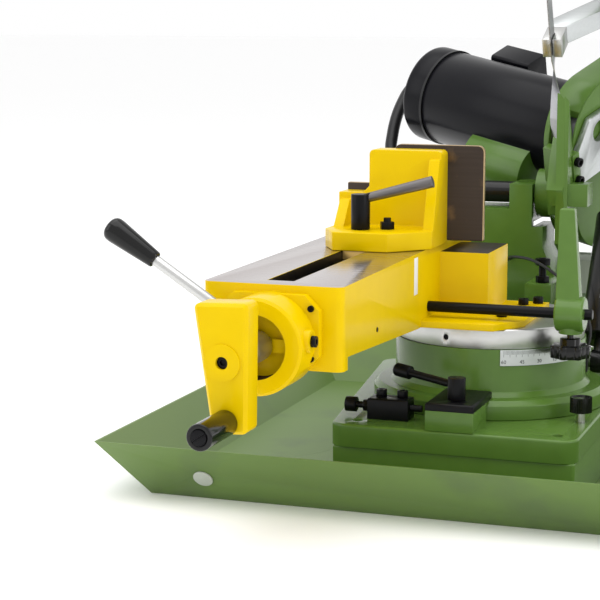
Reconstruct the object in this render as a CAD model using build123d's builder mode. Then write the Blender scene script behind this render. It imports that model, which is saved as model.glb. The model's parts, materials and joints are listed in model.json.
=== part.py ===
"""Swivel-base metal-cutting band saw: drip tray, turntable, crank vise and raised saw bow.

Millimetres. The origin is on the swivel axis at the underside of the drip tray.
+X is the feed direction of the stock, +Y runs from the operator to the back, +Z is up.
"""
from build123d import *
import os
from math import atan2, cos, degrees, pi, radians, sin

os.makedirs("parts", exist_ok=True)

# ---------------------------------------------------------------- driving dimensions
RUN = 0.05            # radial clearance of a running fit
GAP = 0.5             # clearance between neighbours that move past each other

# drip tray
TRAY_X = (-345, 390)
TRAY_Y = (-271, 423)
TRAY_HEIGHT = 70
TRAY_FLARE = 50
TRAY_WALL = 3
PLUG_X = -269
PLUG_Z = 29.7
PLUG_R = 9

# pedestal and base plate
PEDESTAL_X = (-138, 149)
PEDESTAL_Y = (-211, 192)
PEDESTAL_WALL = 8
PLATE_BOTTOM = 61
PLATE_THICK = 27
PLATE_FRONT = -214
PLATE_BACK = 200
PLATE_RIGHT = 151
PLATE_LEFT_FRONT = -140
PLATE_LEFT_BACK = -198
PLATE_CORNER = 20
BOLT_INSET = 26
BASE_BOLT_R = 6
BOLT_HEAD = 8
BOLT_SUNK = 3

# turntable and fixed centre post
FLANGE_R = 145
FLANGE_THICK = 22.5
BOSS_R = 118
STEM_R = 60
POST_HEAD_R = 116
POST_HEAD_THICK = 24
BOSS_HEIGHT = 80
ARM_X = (-196, 60)
ARM_BACK = 372
ARM_BOTTOM_LIFT = 30
SCALE_THICK = 1.2
SCALE_HEIGHT = 19
SCALE_START = -71
SCALE_END = -24

# clamp at the front of the turntable
PAD_X = (-25, 32)
PAD_BACK = -150
CLAMP_THICK = 9
CLAMP_STUD_XY = (5, -186)
CLAMP_STUD_R = 6
STOP_BLOCK_X = (-106, -56)
STOP_BLOCK_Y = (-178, -150)
STOP_BLOCK_HEIGHT = 25
STOP_SCREW_R = 4
CAP_HEAD_R = 6.5
CAP_HEAD = 8
CAP_SHANK_R = 3.5
INDEX_XY = (136, -110)
INDEX_STEM_R = 5

# vise bed
BED_X = (-213, -56)
BED_FRONT = -425
BED_BACK = 115
BED_THICK = 91
BED_WALL = 22
BED_TOP_WALL = 16
SLOT_X = (-150, -120)
SLOT_FRONT = -397
SLOT_BACK = 30
WING_X = 5
WING_Y = (-40, 64)
WING_DROP = 10
FOOT_X = 60
FOOT_FRONT = -125
FOOT_THICK = 8
FOOT_SCREWS = ((33, 35), (48, 52), (28, -62))

# jaws
FIXED_FACE = 10
JAW_FACE_THICK = 10
FIXED_JAW_X = (-133, -42)
FIXED_JAW_TOP = 390
MOVING_FACE = -20
PLATE_X = (-118, -5)
PLATE_LOW_X = -179
PLATE_TOP = 403
PLATE_LOW_TOP = 354
JAW_X = (-141, -50)
JAW_LOW_X = -180
JAW_TOP = 398
JAW_LOW_TOP = 345
JAW_THICK = 32
JAW_FOOT_THICK = 22
JAW_STUD_XY = (-136, -112)
JAW_STUD_R = 6

# spindle, its housing, the crank and the quick lever
SPINDLE_X = -134
SPINDLE_Z = 225
SPINDLE_R = 11
HOUSING_R = 51.5
HOUSING_BORE = 34
HOUSING_FRONT = -480
HOUSING_FLANGE = 12
CRANK_FRONT = -568
CRANK_THICK = 30
CRANK_THROW = 60
GRIP_R = 13.5
GRIP_LENGTH = 68
GRIP_PIN_R = 5
LEVER_ANGLE = 147
LEVER_Y = -446
LEVER_ROD_R = 6
LEVER_GRIP_START = 148
LEVER_GRIP_END = 212
LEVER_SWING = (107, 177)

# bar stop
STOP_ROD_Y = -92
STOP_ROD_Z = 213
STOP_ROD_R = 6.5
STOP_ROD_END = 144
STOP_HUB_X = (101, 135)
STOP_HUB_R = 21
STOP_ARM_TOP = 338
STAR_R = 23.5

# hinge of the saw bow
HINGE_Y = 330
HINGE_Z = 312
HINGE_R = 15
HINGE_BLOCK_R = (-46, -14)
HINGE_BLOCK_L = (-196, -166)
SUPPORT_FRONT = 290
SUPPORT_BACK = 370
HINGE_END = 10
LUG_X = (-12, 24)
LUG_R = 34
WEB_X = (22, 44)
COLUMN_X = (34, 50)
RAISE = 65            # how far the bow stands up at rest, in degrees

# saw bow, all measured with the bow lowered
TILT = 26             # lean of the band wheels, in degrees
WHEEL_R = 118
WHEEL_WIDTH = 26
SPAN = 618            # between the wheel centres
REAR_WHEEL_Y = 296
BLADE_X = 28
BLADE_TEETH = 276
BLADE_WIDTH = 27
BLADE_THICK = 0.9
CASE_MARGIN = 9
CASE_WALL = 7
CASE_BACK = 8
CASE_FRONT = 24
CASE_DEPTH = 38
COVER_THICK = 3
GEARBOX_R = 62
MOTOR_START = 60
MOTOR_END = 300
MOTOR_R = 70
FAN_END = 338
GUIDE_REAR = 92
GUIDE_FRONT = -182

# feed cylinder
CYL_X = 115
CYL_FOOT = (130, 115)
CYL_HEAD = (-95, 40)  # from the hinge, with the bow lowered
CYL_R = 30
CYL_TUBE = 180
CYL_ROD_R = 9
CYL_PIN_R = 8

# ---------------------------------------------------------------- sizes that follow
plate_top = PLATE_BOTTOM + PLATE_THICK
flange_top = plate_top + GAP + FLANGE_THICK
boss_top = plate_top + BOSS_HEIGHT
post_top = boss_top + POST_HEAD_THICK
bed_top = post_top + BED_THICK
wing_top = bed_top - WING_DROP
foot_top = post_top + FOOT_THICK
jaw_bottom = bed_top + GAP
crank_back = CRANK_FRONT + CRANK_THICK
blade_z = BLADE_TEETH + BLADE_WIDTH / 2
wheel_x = BLADE_X + WHEEL_R * sin(radians(TILT))
wheel_z = blade_z + WHEEL_R * cos(radians(TILT))
case_r = WHEEL_R + CASE_MARGIN
motor_way = Vector(-cos(radians(TILT)), 0, sin(radians(TILT)))

# the turn that carries a place on the lowered bow up to its rest place
hinge_place = Location((0, HINGE_Y, HINGE_Z))
lift = hinge_place * Location((0, 0, 0), (-RAISE, 0, 0)) * hinge_place.inverse()


def raised(plane):
    """The plane, drawn for the lowered bow, as it stands with the bow raised."""
    return Plane(lift * plane.location)


def bow_face(offset):
    """Plane of the band wheels: x forward along the bow, y up, z towards the motor."""
    centre = Vector(wheel_x, REAR_WHEEL_Y, wheel_z) + motor_way * offset
    return raised(Plane(origin=tuple(centre), x_dir=(0, -1, 0), z_dir=tuple(motor_way)))


def across(x):
    """Plane facing +X at x: its own x runs along +Y and its own y along +Z."""
    return Plane(origin=(x, 0, 0), x_dir=(0, 1, 0), z_dir=(1, 0, 0))


def facing_front(y):
    """Plane facing -Y at y: its own x runs along +X and its own y along +Z."""
    return Plane(origin=(0, y, 0), x_dir=(1, 0, 0), z_dir=(0, -1, 0))


def middle(pair):
    return (pair[0] + pair[1]) / 2


def extent(pair):
    return pair[1] - pair[0]


# ================================================================ drip tray
tray_centre = (middle(TRAY_X), middle(TRAY_Y))


def tray_section(height, inset):
    """Width and depth of the tray at a height, less an inset on every side."""
    spread = 2 * TRAY_FLARE * height / TRAY_HEIGHT - 2 * inset
    return extent(TRAY_X) + spread, extent(TRAY_Y) + spread


plug_origin = (PLUG_X, TRAY_Y[0] - TRAY_FLARE * PLUG_Z / TRAY_HEIGHT, PLUG_Z)
plug_plane = Plane(origin=plug_origin, x_dir=(1, 0, 0), z_dir=(0, -TRAY_HEIGHT, -TRAY_FLARE))
STAND_BOLT_R = 5.5
STAND_BOLT_SPACING = (240, 320)

with BuildPart() as drip_tray:
    with BuildSketch(Plane.XY) as tray_floor:
        with Locations(tray_centre):
            Rectangle(*tray_section(0, 0))
    with BuildSketch(Plane.XY.offset(TRAY_HEIGHT)) as tray_rim:
        with Locations(tray_centre):
            Rectangle(*tray_section(TRAY_HEIGHT, 0))
    loft()
    with BuildSketch(Plane.XY.offset(TRAY_WALL)) as inner_floor:
        with Locations(tray_centre):
            Rectangle(*tray_section(TRAY_WALL, TRAY_WALL))
    with BuildSketch(Plane.XY.offset(TRAY_HEIGHT)) as inner_rim:
        with Locations(tray_centre):
            Rectangle(*tray_section(TRAY_HEIGHT, TRAY_WALL))
    loft(mode=Mode.SUBTRACT)
    with Locations((0, 0, TRAY_WALL)):
        with GridLocations(*STAND_BOLT_SPACING, 2, 2):
            Hole(STAND_BOLT_R, TRAY_WALL)
    with BuildSketch(plug_plane) as plug_hole:
        Circle(PLUG_R)
    extrude(amount=3 * TRAY_WALL, both=True, mode=Mode.SUBTRACT)
drip_tray.part.label = "drip_tray"
export_step(drip_tray.part, "parts/drip_tray.step")

PLUG_HEAD = 2.2
with BuildPart() as tray_plug:
    with BuildSketch(plug_plane) as plug_head:
        Circle(PLUG_R + 3)
    extrude(amount=PLUG_HEAD)
    with BuildSketch(plug_plane) as plug_stem:
        Circle(PLUG_R - GAP / 5)
    extrude(amount=-2 * TRAY_WALL)
tray_plug.part.label = "tray_plug"
export_step(tray_plug.part, "parts/tray_plug.step")

# ================================================================ pedestal and base plate
with BuildPart() as pedestal:
    with BuildSketch(Plane.XY.offset(TRAY_WALL)) as pedestal_ring:
        with Locations((middle(PEDESTAL_X), middle(PEDESTAL_Y))):
            Rectangle(extent(PEDESTAL_X), extent(PEDESTAL_Y))
            Rectangle(extent(PEDESTAL_X) - 2 * PEDESTAL_WALL, extent(PEDESTAL_Y) - 2 * PEDESTAL_WALL,
                      mode=Mode.SUBTRACT)
    extrude(amount=PLATE_BOTTOM - TRAY_WALL)
    fillet(pedestal.edges().filter_by(Axis.Z).group_by(SortBy.DISTANCE)[-1], 4)
pedestal.part.label = "pedestal"
export_step(pedestal.part, "parts/pedestal.step")

base_bolt_places = [
    (PLATE_LEFT_FRONT + BOLT_INSET, PLATE_FRONT + BOLT_INSET),
    (PLATE_RIGHT - BOLT_INSET, PLATE_FRONT + BOLT_INSET),
    (PLATE_LEFT_BACK + 2 * BOLT_INSET, PLATE_BACK - BOLT_INSET),
    (PLATE_RIGHT - BOLT_INSET, PLATE_BACK - BOLT_INSET),
]
pad_top = flange_top + GAP

with BuildPart() as base_plate:
    with BuildSketch(Plane.XY.offset(PLATE_BOTTOM)) as plate_outline:
        with BuildLine() as plate_edge:
            Polyline(
                (PLATE_LEFT_FRONT, PLATE_FRONT),
                (PLATE_RIGHT, PLATE_FRONT),
                (PLATE_RIGHT, PLATE_BACK),
                (PLATE_LEFT_BACK, PLATE_BACK),
                close=True,
            )
        make_face()
        fillet(plate_outline.vertices(), PLATE_CORNER)
    extrude(amount=PLATE_THICK)
    fillet(base_plate.faces().sort_by(Axis.Z)[-1].edges(), 3)
    with BuildSketch(Plane.XY.offset(plate_top)) as pad_outline:
        with Locations((middle(PAD_X), middle((PLATE_FRONT, PAD_BACK)))):
            Rectangle(extent(PAD_X), PAD_BACK - PLATE_FRONT)
    extrude(amount=pad_top - plate_top)
    with Locations((CLAMP_STUD_XY[0], CLAMP_STUD_XY[1], pad_top)):
        Hole(CLAMP_STUD_R + RUN, PLATE_THICK + 1)
    with Locations((INDEX_XY[0], INDEX_XY[1], plate_top)):
        Hole(INDEX_STEM_R + RUN, PLATE_THICK - 7)
    with Locations([(x, y, plate_top) for x, y in base_bolt_places]):
        Hole(BASE_BOLT_R, PLATE_THICK)
base_plate.part.label = "base_plate"
export_step(base_plate.part, "parts/base_plate.step")


def screw_group(places, head_r, head_height, shank_r, shank_length):
    """Cap screws at several places, each given as a plane whose normal leaves the head."""
    with BuildPart() as screws:
        for place in places:
            with BuildSketch(place) as head:
                Circle(head_r)
            extrude(amount=head_height)
            with BuildSketch(place) as shank:
                Circle(shank_r)
            extrude(amount=-shank_length)
            with BuildSketch(place.offset(head_height)) as socket:
                RegularPolygon(head_r * 0.52, 6)
            extrude(amount=-head_height * 0.55, mode=Mode.SUBTRACT)
    return screws


bolt_seat = plate_top - BOLT_SUNK - BOLT_HEAD
base_bolts = screw_group([Plane(origin=(x, y, bolt_seat), z_dir=(0, 0, 1)) for x, y in base_bolt_places],
                         BASE_BOLT_R, BOLT_HEAD, BASE_BOLT_R - 2, bolt_seat - PLATE_BOTTOM - 1)
base_bolts.part.label = "base_bolts"
export_step(base_bolts.part, "parts/base_bolts.step")

# ================================================================ turntable and its post
FLANGE_LIP = 6
EAR_Z = (99, 131)
ear_x = (CYL_X - 92, CYL_X - 16)
with BuildPart() as turntable:
    with BuildSketch(Plane.XZ) as turntable_profile:
        with BuildLine() as profile_edge:
            Polyline(
                (STEM_R + RUN, plate_top + GAP),
                (FLANGE_R, plate_top + GAP),
                (FLANGE_R, flange_top - FLANGE_LIP),
                (FLANGE_R - FLANGE_LIP, flange_top),
                (BOSS_R + FLANGE_LIP, flange_top),
                (BOSS_R, flange_top + FLANGE_LIP),
                (BOSS_R, boss_top),
                (STEM_R + RUN, boss_top),
                close=True,
            )
        make_face()
    revolve(axis=Axis.Z)
    # the arm that reaches back to the hinge support
    with BuildSketch(Plane.XY.offset(plate_top + ARM_BOTTOM_LIFT)) as arm_outline:
        with BuildLine() as arm_edge:
            Polyline(
                (-BOSS_R * 0.8, STEM_R * 1.2),
                (ARM_X[0], SUPPORT_FRONT - 60),
                (ARM_X[0], ARM_BACK),
                (ARM_X[1], ARM_BACK),
                (ARM_X[1], STEM_R * 1.2),
                close=True,
            )
        make_face()
    extrude(amount=boss_top - plate_top - ARM_BOTTOM_LIFT - 2)
    # the ear that carries the foot of the feed cylinder
    with BuildSketch(Plane.XY.offset(EAR_Z[0])) as ear_arm:
        with Locations((middle(ear_x), CYL_FOOT[0])):
            Rectangle(extent(ear_x), 40)
    extrude(amount=extent(EAR_Z))
    fillet(turntable.edges().filter_by(Axis.Z).filter_by_position(Axis.Y, 200, 400), 12)
    with BuildSketch(across(CYL_X - 12)) as foot_hole:
        with Locations(CYL_FOOT):
            Circle(CYL_PIN_R)
    extrude(amount=-24, mode=Mode.SUBTRACT)
turntable.part.label = "turntable"
export_step(turntable.part, "parts/turntable.step")

with BuildPart() as scale_plate:
    with BuildSketch(Plane.XY.offset(boss_top - SCALE_HEIGHT)) as scale_outline:
        Circle(BOSS_R + SCALE_THICK)
        Circle(BOSS_R, mode=Mode.SUBTRACT)
        with BuildSketch(mode=Mode.INTERSECT):
            with BuildLine():
                reach = 2 * BOSS_R
                Polyline(
                    (0, 0),
                    (reach * cos(radians(SCALE_START)), reach * sin(radians(SCALE_START))),
                    (reach * cos(radians(SCALE_END)), reach * sin(radians(SCALE_END))),
                    close=True,
                )
            make_face()
    extrude(amount=SCALE_HEIGHT)
scale_plate.part.label = "scale_plate"
export_step(scale_plate.part, "parts/scale_plate.step")

SET_SCREW_ANGLE = -104
SET_SCREW_R = 3.5
SIDE_SCREW_R = 6
set_screw_way = Vector(cos(radians(SET_SCREW_ANGLE)), sin(radians(SET_SCREW_ANGLE)), 0)
set_screw_at = set_screw_way * POST_HEAD_R + Vector(0, 0, middle((boss_top, post_top)))
set_screw_plane = Plane(origin=tuple(set_screw_at), z_dir=tuple(set_screw_way))
with BuildPart() as centre_post:
    with BuildSketch(Plane.XY.offset(plate_top)) as stem:
        Circle(STEM_R)
    extrude(amount=boss_top + GAP - plate_top)
    with BuildSketch(Plane.XY.offset(boss_top + GAP)) as post_head:
        Circle(POST_HEAD_R)
    extrude(amount=POST_HEAD_THICK - GAP)
    chamfer(centre_post.faces().sort_by(Axis.Z)[-1].edges(), 1.5)
    with BuildSketch(set_screw_plane) as set_screw_hole:
        Circle(SET_SCREW_R)
    extrude(amount=-12, mode=Mode.SUBTRACT)
centre_post.part.label = "centre_post"
export_step(centre_post.part, "parts/centre_post.step")

# ================================================================ clamp, stop and index knob
with BuildPart() as clamp_plate:
    with BuildSketch(Plane.XY.offset(pad_top)) as clamp_outline:
        with BuildLine():
            Polyline(
                (PAD_X[0], PLATE_FRONT),
                (PAD_X[1], PLATE_FRONT),
                (PAD_X[1], -BOSS_R - 6),
                (PAD_X[0], -BOSS_R - 6),
                close=True,
            )
        make_face()
    extrude(amount=CLAMP_THICK)
    chamfer(clamp_plate.faces().sort_by(Axis.Z)[-1].edges(), 1.5)
    with Locations((CLAMP_STUD_XY[0], CLAMP_STUD_XY[1], pad_top + CLAMP_THICK)):
        Hole(CLAMP_STUD_R + 0.3, CLAMP_THICK)
clamp_plate.part.label = "clamp_plate"
export_step(clamp_plate.part, "parts/clamp_plate.step")

clamp_top = pad_top + CLAMP_THICK
STUD_ABOVE = 24
LEVER_HUB_R = 10.5
CLAMP_LEVER_REACH = 68
with BuildPart() as clamp_lever:
    with BuildSketch(Plane.XY.offset(clamp_top + GAP)) as lever_hub:
        with Locations(CLAMP_STUD_XY):
            Circle(LEVER_HUB_R)
    extrude(amount=STUD_ABOVE + 2)
    with BuildSketch(Plane.XY.offset(pad_top - PLATE_THICK)) as lever_stud:
        with Locations(CLAMP_STUD_XY):
            Circle(CLAMP_STUD_R)
    extrude(amount=PLATE_THICK + CLAMP_THICK + 2)
    lever_root = Vector(CLAMP_STUD_XY[0] - 8, CLAMP_STUD_XY[1] + 2, clamp_top + 18)
    lever_tip = lever_root + Vector(-CLAMP_LEVER_REACH, 22, 8)
    lever_plane = Plane(origin=tuple(lever_root), z_dir=tuple(lever_tip - lever_root))
    with BuildSketch(lever_plane) as lever_bar:
        Circle(4.5)
    extrude(amount=CLAMP_LEVER_REACH)
    with BuildSketch(lever_plane.offset(CLAMP_LEVER_REACH - 12)) as lever_knob:
        Circle(8)
    extrude(amount=22)
    fillet(clamp_lever.faces().sort_by(Axis.X)[0].edges(), 4)
clamp_lever.part.label = "clamp_lever"
export_step(clamp_lever.part, "parts/clamp_lever.step")

stop_block_top = plate_top + STOP_BLOCK_HEIGHT
stop_axis = (middle(STOP_BLOCK_Y), plate_top + STOP_BLOCK_HEIGHT * 0.55)
with BuildPart() as mitre_stop_block:
    with BuildSketch(Plane.XY.offset(plate_top)) as stop_outline:
        with Locations((middle(STOP_BLOCK_X), middle(STOP_BLOCK_Y))):
            Rectangle(extent(STOP_BLOCK_X), extent(STOP_BLOCK_Y))
    extrude(amount=STOP_BLOCK_HEIGHT)
    chamfer(mitre_stop_block.faces().sort_by(Axis.Z)[-1].edges(), 1.5)
    with BuildSketch(across(STOP_BLOCK_X[0])) as stop_bore:
        with Locations(stop_axis):
            Circle(STOP_SCREW_R + RUN)
    extrude(amount=extent(STOP_BLOCK_X), mode=Mode.SUBTRACT)
    with Locations([(x, STOP_BLOCK_Y[1] - 8, stop_block_top)
                    for x in (STOP_BLOCK_X[0] + 12, STOP_BLOCK_X[1] - 12)]):
        Hole(CAP_SHANK_R, FOOT_THICK - 1)
mitre_stop_block.part.label = "mitre_stop_block"
export_step(mitre_stop_block.part, "parts/mitre_stop_block.step")

with BuildPart() as mitre_stop_screw:
    with BuildSketch(across(STOP_BLOCK_X[0] - 30)) as stop_thread:
        with Locations(stop_axis):
            Circle(STOP_SCREW_R)
    extrude(amount=extent(STOP_BLOCK_X) + 44)
    with BuildSketch(across(STOP_BLOCK_X[0] - 30)) as stop_head:
        with Locations(stop_axis):
            Circle(9)
    extrude(amount=13)
    with BuildSketch(across(STOP_BLOCK_X[0] - 8)) as stop_nut:
        with Locations(stop_axis):
            RegularPolygon(7.5, 6)
    extrude(amount=6)
mitre_stop_screw.part.label = "mitre_stop_screw"
export_step(mitre_stop_screw.part, "parts/mitre_stop_screw.step")

with BuildPart() as index_knob:
    with BuildSketch(Plane.XY.offset(plate_top - 16)) as index_stem:
        with Locations(INDEX_XY):
            Circle(INDEX_STEM_R)
    extrude(amount=30)
    with BuildSketch(Plane.XY.offset(plate_top + 12)) as index_head:
        with Locations(INDEX_XY):
            Circle(13)
    extrude(amount=18)
    fillet(index_knob.faces().sort_by(Axis.Z)[-1].edges(), 2)
index_knob.part.label = "index_knob"
export_step(index_knob.part, "parts/index_knob.step")

# ================================================================ vise bed
NOSE_DROP = 14
cavity_x = (BED_X[0] + BED_WALL, BED_X[1] - BED_WALL)
cavity_floor = post_top + 16
cavity_top = bed_top - BED_TOP_WALL
with BuildPart() as vise_bed:
    with BuildSketch(across(BED_X[0])) as bed_side:
        with BuildLine():
            Polyline(
                (BED_FRONT, post_top + 1),
                (BED_FRONT + 18, post_top + 1),
                (BED_FRONT + 18, post_top + 1 + NOSE_DROP),
                (-POST_HEAD_R - 20, post_top),
                (BED_BACK, post_top),
                (BED_BACK, bed_top),
                (BED_FRONT, bed_top),
                close=True,
            )
        make_face()
    extrude(amount=extent(BED_X))
    fillet(vise_bed.edges().filter_by(Axis.Z).group_by(Axis.Y)[0], 9)
    # the wing to the right, with its foot spread on the post
    with BuildSketch(Plane.XY.offset(post_top)) as wing_outline:
        with Locations((middle((BED_X[1] - 20, WING_X)), middle(WING_Y))):
            Rectangle(WING_X - BED_X[1] + 20, extent(WING_Y))
    extrude(amount=wing_top - post_top)
    with BuildSketch(Plane.XY.offset(post_top)) as foot_outline:
        with BuildLine():
            Polyline(
                (BED_X[1] - 20, FOOT_FRONT),
                (FOOT_X - 28, FOOT_FRONT),
                (FOOT_X, FOOT_FRONT + 45),
                (FOOT_X, WING_Y[1]),
                (BED_X[1] - 20, WING_Y[1]),
                close=True,
            )
        make_face()
    extrude(amount=FOOT_THICK)
    # hollow for the spindle and its nut, with the slot above
    with BuildSketch(Plane.XY.offset(cavity_floor)) as cavity:
        with Locations((middle(cavity_x), middle((SLOT_FRONT + 2, BED_BACK - BED_WALL)))):
            Rectangle(extent(cavity_x), BED_BACK - BED_WALL - SLOT_FRONT - 2)
    extrude(amount=cavity_top - cavity_floor, mode=Mode.SUBTRACT)
    with BuildSketch(Plane.XY.offset(bed_top)) as slot:
        with Locations((middle(SLOT_X), middle((SLOT_FRONT, SLOT_BACK)))):
            Rectangle(extent(SLOT_X), SLOT_BACK - SLOT_FRONT)
    extrude(amount=-BED_TOP_WALL - 1, mode=Mode.SUBTRACT)
    with BuildSketch(facing_front(BED_FRONT)) as spindle_bore:
        with Locations((SPINDLE_X, SPINDLE_Z)):
            Circle(SPINDLE_R + RUN)
    extrude(amount=-40, mode=Mode.SUBTRACT)
    with Locations([(x, y, foot_top) for x, y in FOOT_SCREWS]):
        Hole(CAP_SHANK_R, FOOT_THICK - 1)
vise_bed.part.label = "vise_bed"
export_step(vise_bed.part, "parts/vise_bed.step")

cap_screws = screw_group(
    [Plane(origin=(x, y, foot_top), z_dir=(0, 0, 1)) for x, y in FOOT_SCREWS]
    + [Plane(origin=(x, STOP_BLOCK_Y[1] - 8, stop_block_top), z_dir=(0, 0, 1))
       for x in (STOP_BLOCK_X[0] + 12, STOP_BLOCK_X[1] - 12)],
    CAP_HEAD_R, CAP_HEAD, CAP_SHANK_R, FOOT_THICK - 1)
cap_screws.part.label = "cap_screws"
export_step(cap_screws.part, "parts/cap_screws.step")

# ================================================================ jaws
with BuildPart() as fixed_jaw:
    with BuildSketch(Plane.XY.offset(bed_top)) as fixed_foot:
        with Locations((middle(FIXED_JAW_X), FIXED_FACE + JAW_FACE_THICK + 42)):
            Rectangle(extent(FIXED_JAW_X), 84)
    extrude(amount=JAW_FOOT_THICK)
    with BuildSketch(facing_front(FIXED_FACE + JAW_FACE_THICK)) as fixed_upright:
        with Locations((middle(FIXED_JAW_X), middle((bed_top, FIXED_JAW_TOP - 8)))):
            Rectangle(extent(FIXED_JAW_X), FIXED_JAW_TOP - 8 - bed_top)
    extrude(amount=-26)
    for x in (FIXED_JAW_X[0] + 22, FIXED_JAW_X[1] - 36):
        with BuildSketch(across(x)) as fixed_rib:
            with BuildLine():
                back = FIXED_FACE + JAW_FACE_THICK + 26
                Polyline((back, FIXED_JAW_TOP - 14), (back, bed_top + JAW_FOOT_THICK),
                         (back + 52, bed_top + JAW_FOOT_THICK), close=True)
            make_face()
        extrude(amount=14)
fixed_jaw.part.label = "fixed_jaw"
export_step(fixed_jaw.part, "parts/fixed_jaw.step")

with BuildPart() as fixed_jaw_plate:
    with BuildSketch(facing_front(FIXED_FACE)) as fixed_face:
        with Locations((middle(FIXED_JAW_X), middle((bed_top + 3, FIXED_JAW_TOP)))):
            Rectangle(extent(FIXED_JAW_X), FIXED_JAW_TOP - bed_top - 3)
    extrude(amount=-JAW_FACE_THICK)
    chamfer(fixed_jaw_plate.edges().filter_by(Axis.Y), 4)
fixed_jaw_plate.part.label = "fixed_jaw_plate"
export_step(fixed_jaw_plate.part, "parts/fixed_jaw_plate.step")

moving_back = MOVING_FACE - JAW_FACE_THICK
foot_front = moving_back - 118
with BuildPart() as moving_jaw:
    with BuildSketch(Plane.XY.offset(jaw_bottom)) as jaw_foot:
        with BuildLine():
            Polyline(
                (JAW_LOW_X, moving_back),
                (JAW_LOW_X, foot_front + 34),
                (-160, foot_front),
                (-92, foot_front),
                (JAW_X[1], foot_front + 46),
                (JAW_X[1], moving_back),
                close=True,
            )
        make_face()
    extrude(amount=JAW_FOOT_THICK)
    with BuildSketch(facing_front(moving_back)) as jaw_upright:
        with BuildLine():
            Polyline(
                (JAW_LOW_X, jaw_bottom),
                (JAW_X[1], jaw_bottom),
                (JAW_X[1], JAW_TOP),
                (JAW_X[0], JAW_TOP),
                (JAW_X[0], JAW_LOW_TOP + 8),
                (JAW_X[0] - 8, JAW_LOW_TOP),
                (JAW_LOW_X, JAW_LOW_TOP),
                close=True,
            )
        make_face()
        fillet(jaw_upright.vertices().group_by(Axis.Y)[-1], 6)
    extrude(amount=JAW_THICK)
    for x, width, top in ((JAW_X[1] - 13, 13, JAW_TOP - 10), (-176, 13, JAW_LOW_TOP - 8)):
        with BuildSketch(across(x)) as jaw_rib:
            with BuildLine():
                root = moving_back - JAW_THICK
                floor = jaw_bottom + JAW_FOOT_THICK
                Polyline((root, top), (root, floor), (root - 34, floor), (root - 8, top), close=True)
            make_face()
        extrude(amount=width)
    with Locations((JAW_STUD_XY[0], JAW_STUD_XY[1], jaw_bottom + JAW_FOOT_THICK)):
        Hole(JAW_STUD_R + RUN, JAW_FOOT_THICK)
moving_jaw.part.label = "moving_jaw"
export_step(moving_jaw.part, "parts/moving_jaw.step")

with BuildPart() as moving_jaw_plate:
    with BuildSketch(facing_front(MOVING_FACE)) as moving_face:
        with BuildLine():
            Polyline(
                (PLATE_LOW_X, bed_top + 3),
                (PLATE_X[1], bed_top + 3),
                (PLATE_X[1], PLATE_TOP),
                (PLATE_X[0], PLATE_TOP),
                (PLATE_X[0], PLATE_LOW_TOP),
                (PLATE_LOW_X, PLATE_LOW_TOP),
                close=True,
            )
        make_face()
        fillet(moving_face.vertices().group_by(Axis.Y)[-1], 8)
    extrude(amount=JAW_FACE_THICK)
    fillet(moving_jaw_plate.edges().filter_by(Axis.Y).group_by(Axis.Z)[0], 2)
moving_jaw_plate.part.label = "moving_jaw_plate"
export_step(moving_jaw_plate.part, "parts/moving_jaw_plate.step")

NUT_Y = (-140, -62)
NUT_SIDE = 24
with BuildPart() as jaw_nut:
    with BuildSketch(Plane.XY.offset(cavity_floor + 2)) as nut_block:
        with Locations((SPINDLE_X, middle(NUT_Y))):
            Rectangle(2 * NUT_SIDE, extent(NUT_Y))
    extrude(amount=cavity_top - cavity_floor - 4)
    with BuildSketch(Plane.XY.offset(cavity_top - 3)) as nut_tongue:
        with Locations((middle(SLOT_X), middle(NUT_Y))):
            Rectangle(extent(SLOT_X) - 2 * GAP, extent(NUT_Y))
    extrude(amount=jaw_bottom - cavity_top + 3)
    with BuildSketch(facing_front(NUT_Y[0])) as nut_bore:
        with Locations((SPINDLE_X, SPINDLE_Z)):
            Circle(SPINDLE_R + RUN)
    extrude(amount=-extent(NUT_Y), mode=Mode.SUBTRACT)
    with Locations((JAW_STUD_XY[0], JAW_STUD_XY[1], jaw_bottom)):
        Hole(JAW_STUD_R + RUN, jaw_bottom - SPINDLE_Z - SPINDLE_R - 6)
jaw_nut.part.label = "jaw_nut"
export_step(jaw_nut.part, "parts/jaw_nut.step")

jaw_foot_top = jaw_bottom + JAW_FOOT_THICK
with BuildPart() as jaw_clamp_lever:
    with BuildSketch(Plane.XY.offset(jaw_bottom - 12)) as jaw_stud:
        with Locations(JAW_STUD_XY):
            Circle(JAW_STUD_R)
    extrude(amount=JAW_FOOT_THICK + 20)
    with BuildSketch(Plane.XY.offset(jaw_foot_top + GAP)) as jaw_hub:
        with Locations(JAW_STUD_XY):
            Circle(11.5)
    extrude(amount=42)
    arm_root = Vector(JAW_STUD_XY[0], JAW_STUD_XY[1], jaw_foot_top + 36)
    arm_tip = Vector(-46, JAW_STUD_XY[1] - 2, 366)
    arm_way = arm_tip - arm_root
    with BuildSketch(Plane(origin=tuple(arm_root), z_dir=tuple(arm_way))) as arm_start:
        Ellipse(5.5, 4.5)
    with BuildSketch(Plane(origin=tuple(arm_tip), z_dir=tuple(arm_way))) as arm_end:
        Ellipse(7, 5)
    loft()
jaw_clamp_lever.part.label = "jaw_clamp_lever"
export_step(jaw_clamp_lever.part, "parts/jaw_clamp_lever.step")

with BuildPart() as jaw_bolt:
    with BuildSketch(Plane.XY.offset(jaw_foot_top)) as jaw_bolt_head:
        with Locations((-106, -100)):
            RegularPolygon(9, 6)
    extrude(amount=9)
    with BuildSketch(Plane.XY.offset(jaw_foot_top + 9)) as jaw_bolt_end:
        with Locations((-106, -100)):
            Circle(4.5)
    extrude(amount=5)
jaw_bolt.part.label = "jaw_bolt"
export_step(jaw_bolt.part, "parts/jaw_bolt.step")

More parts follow.
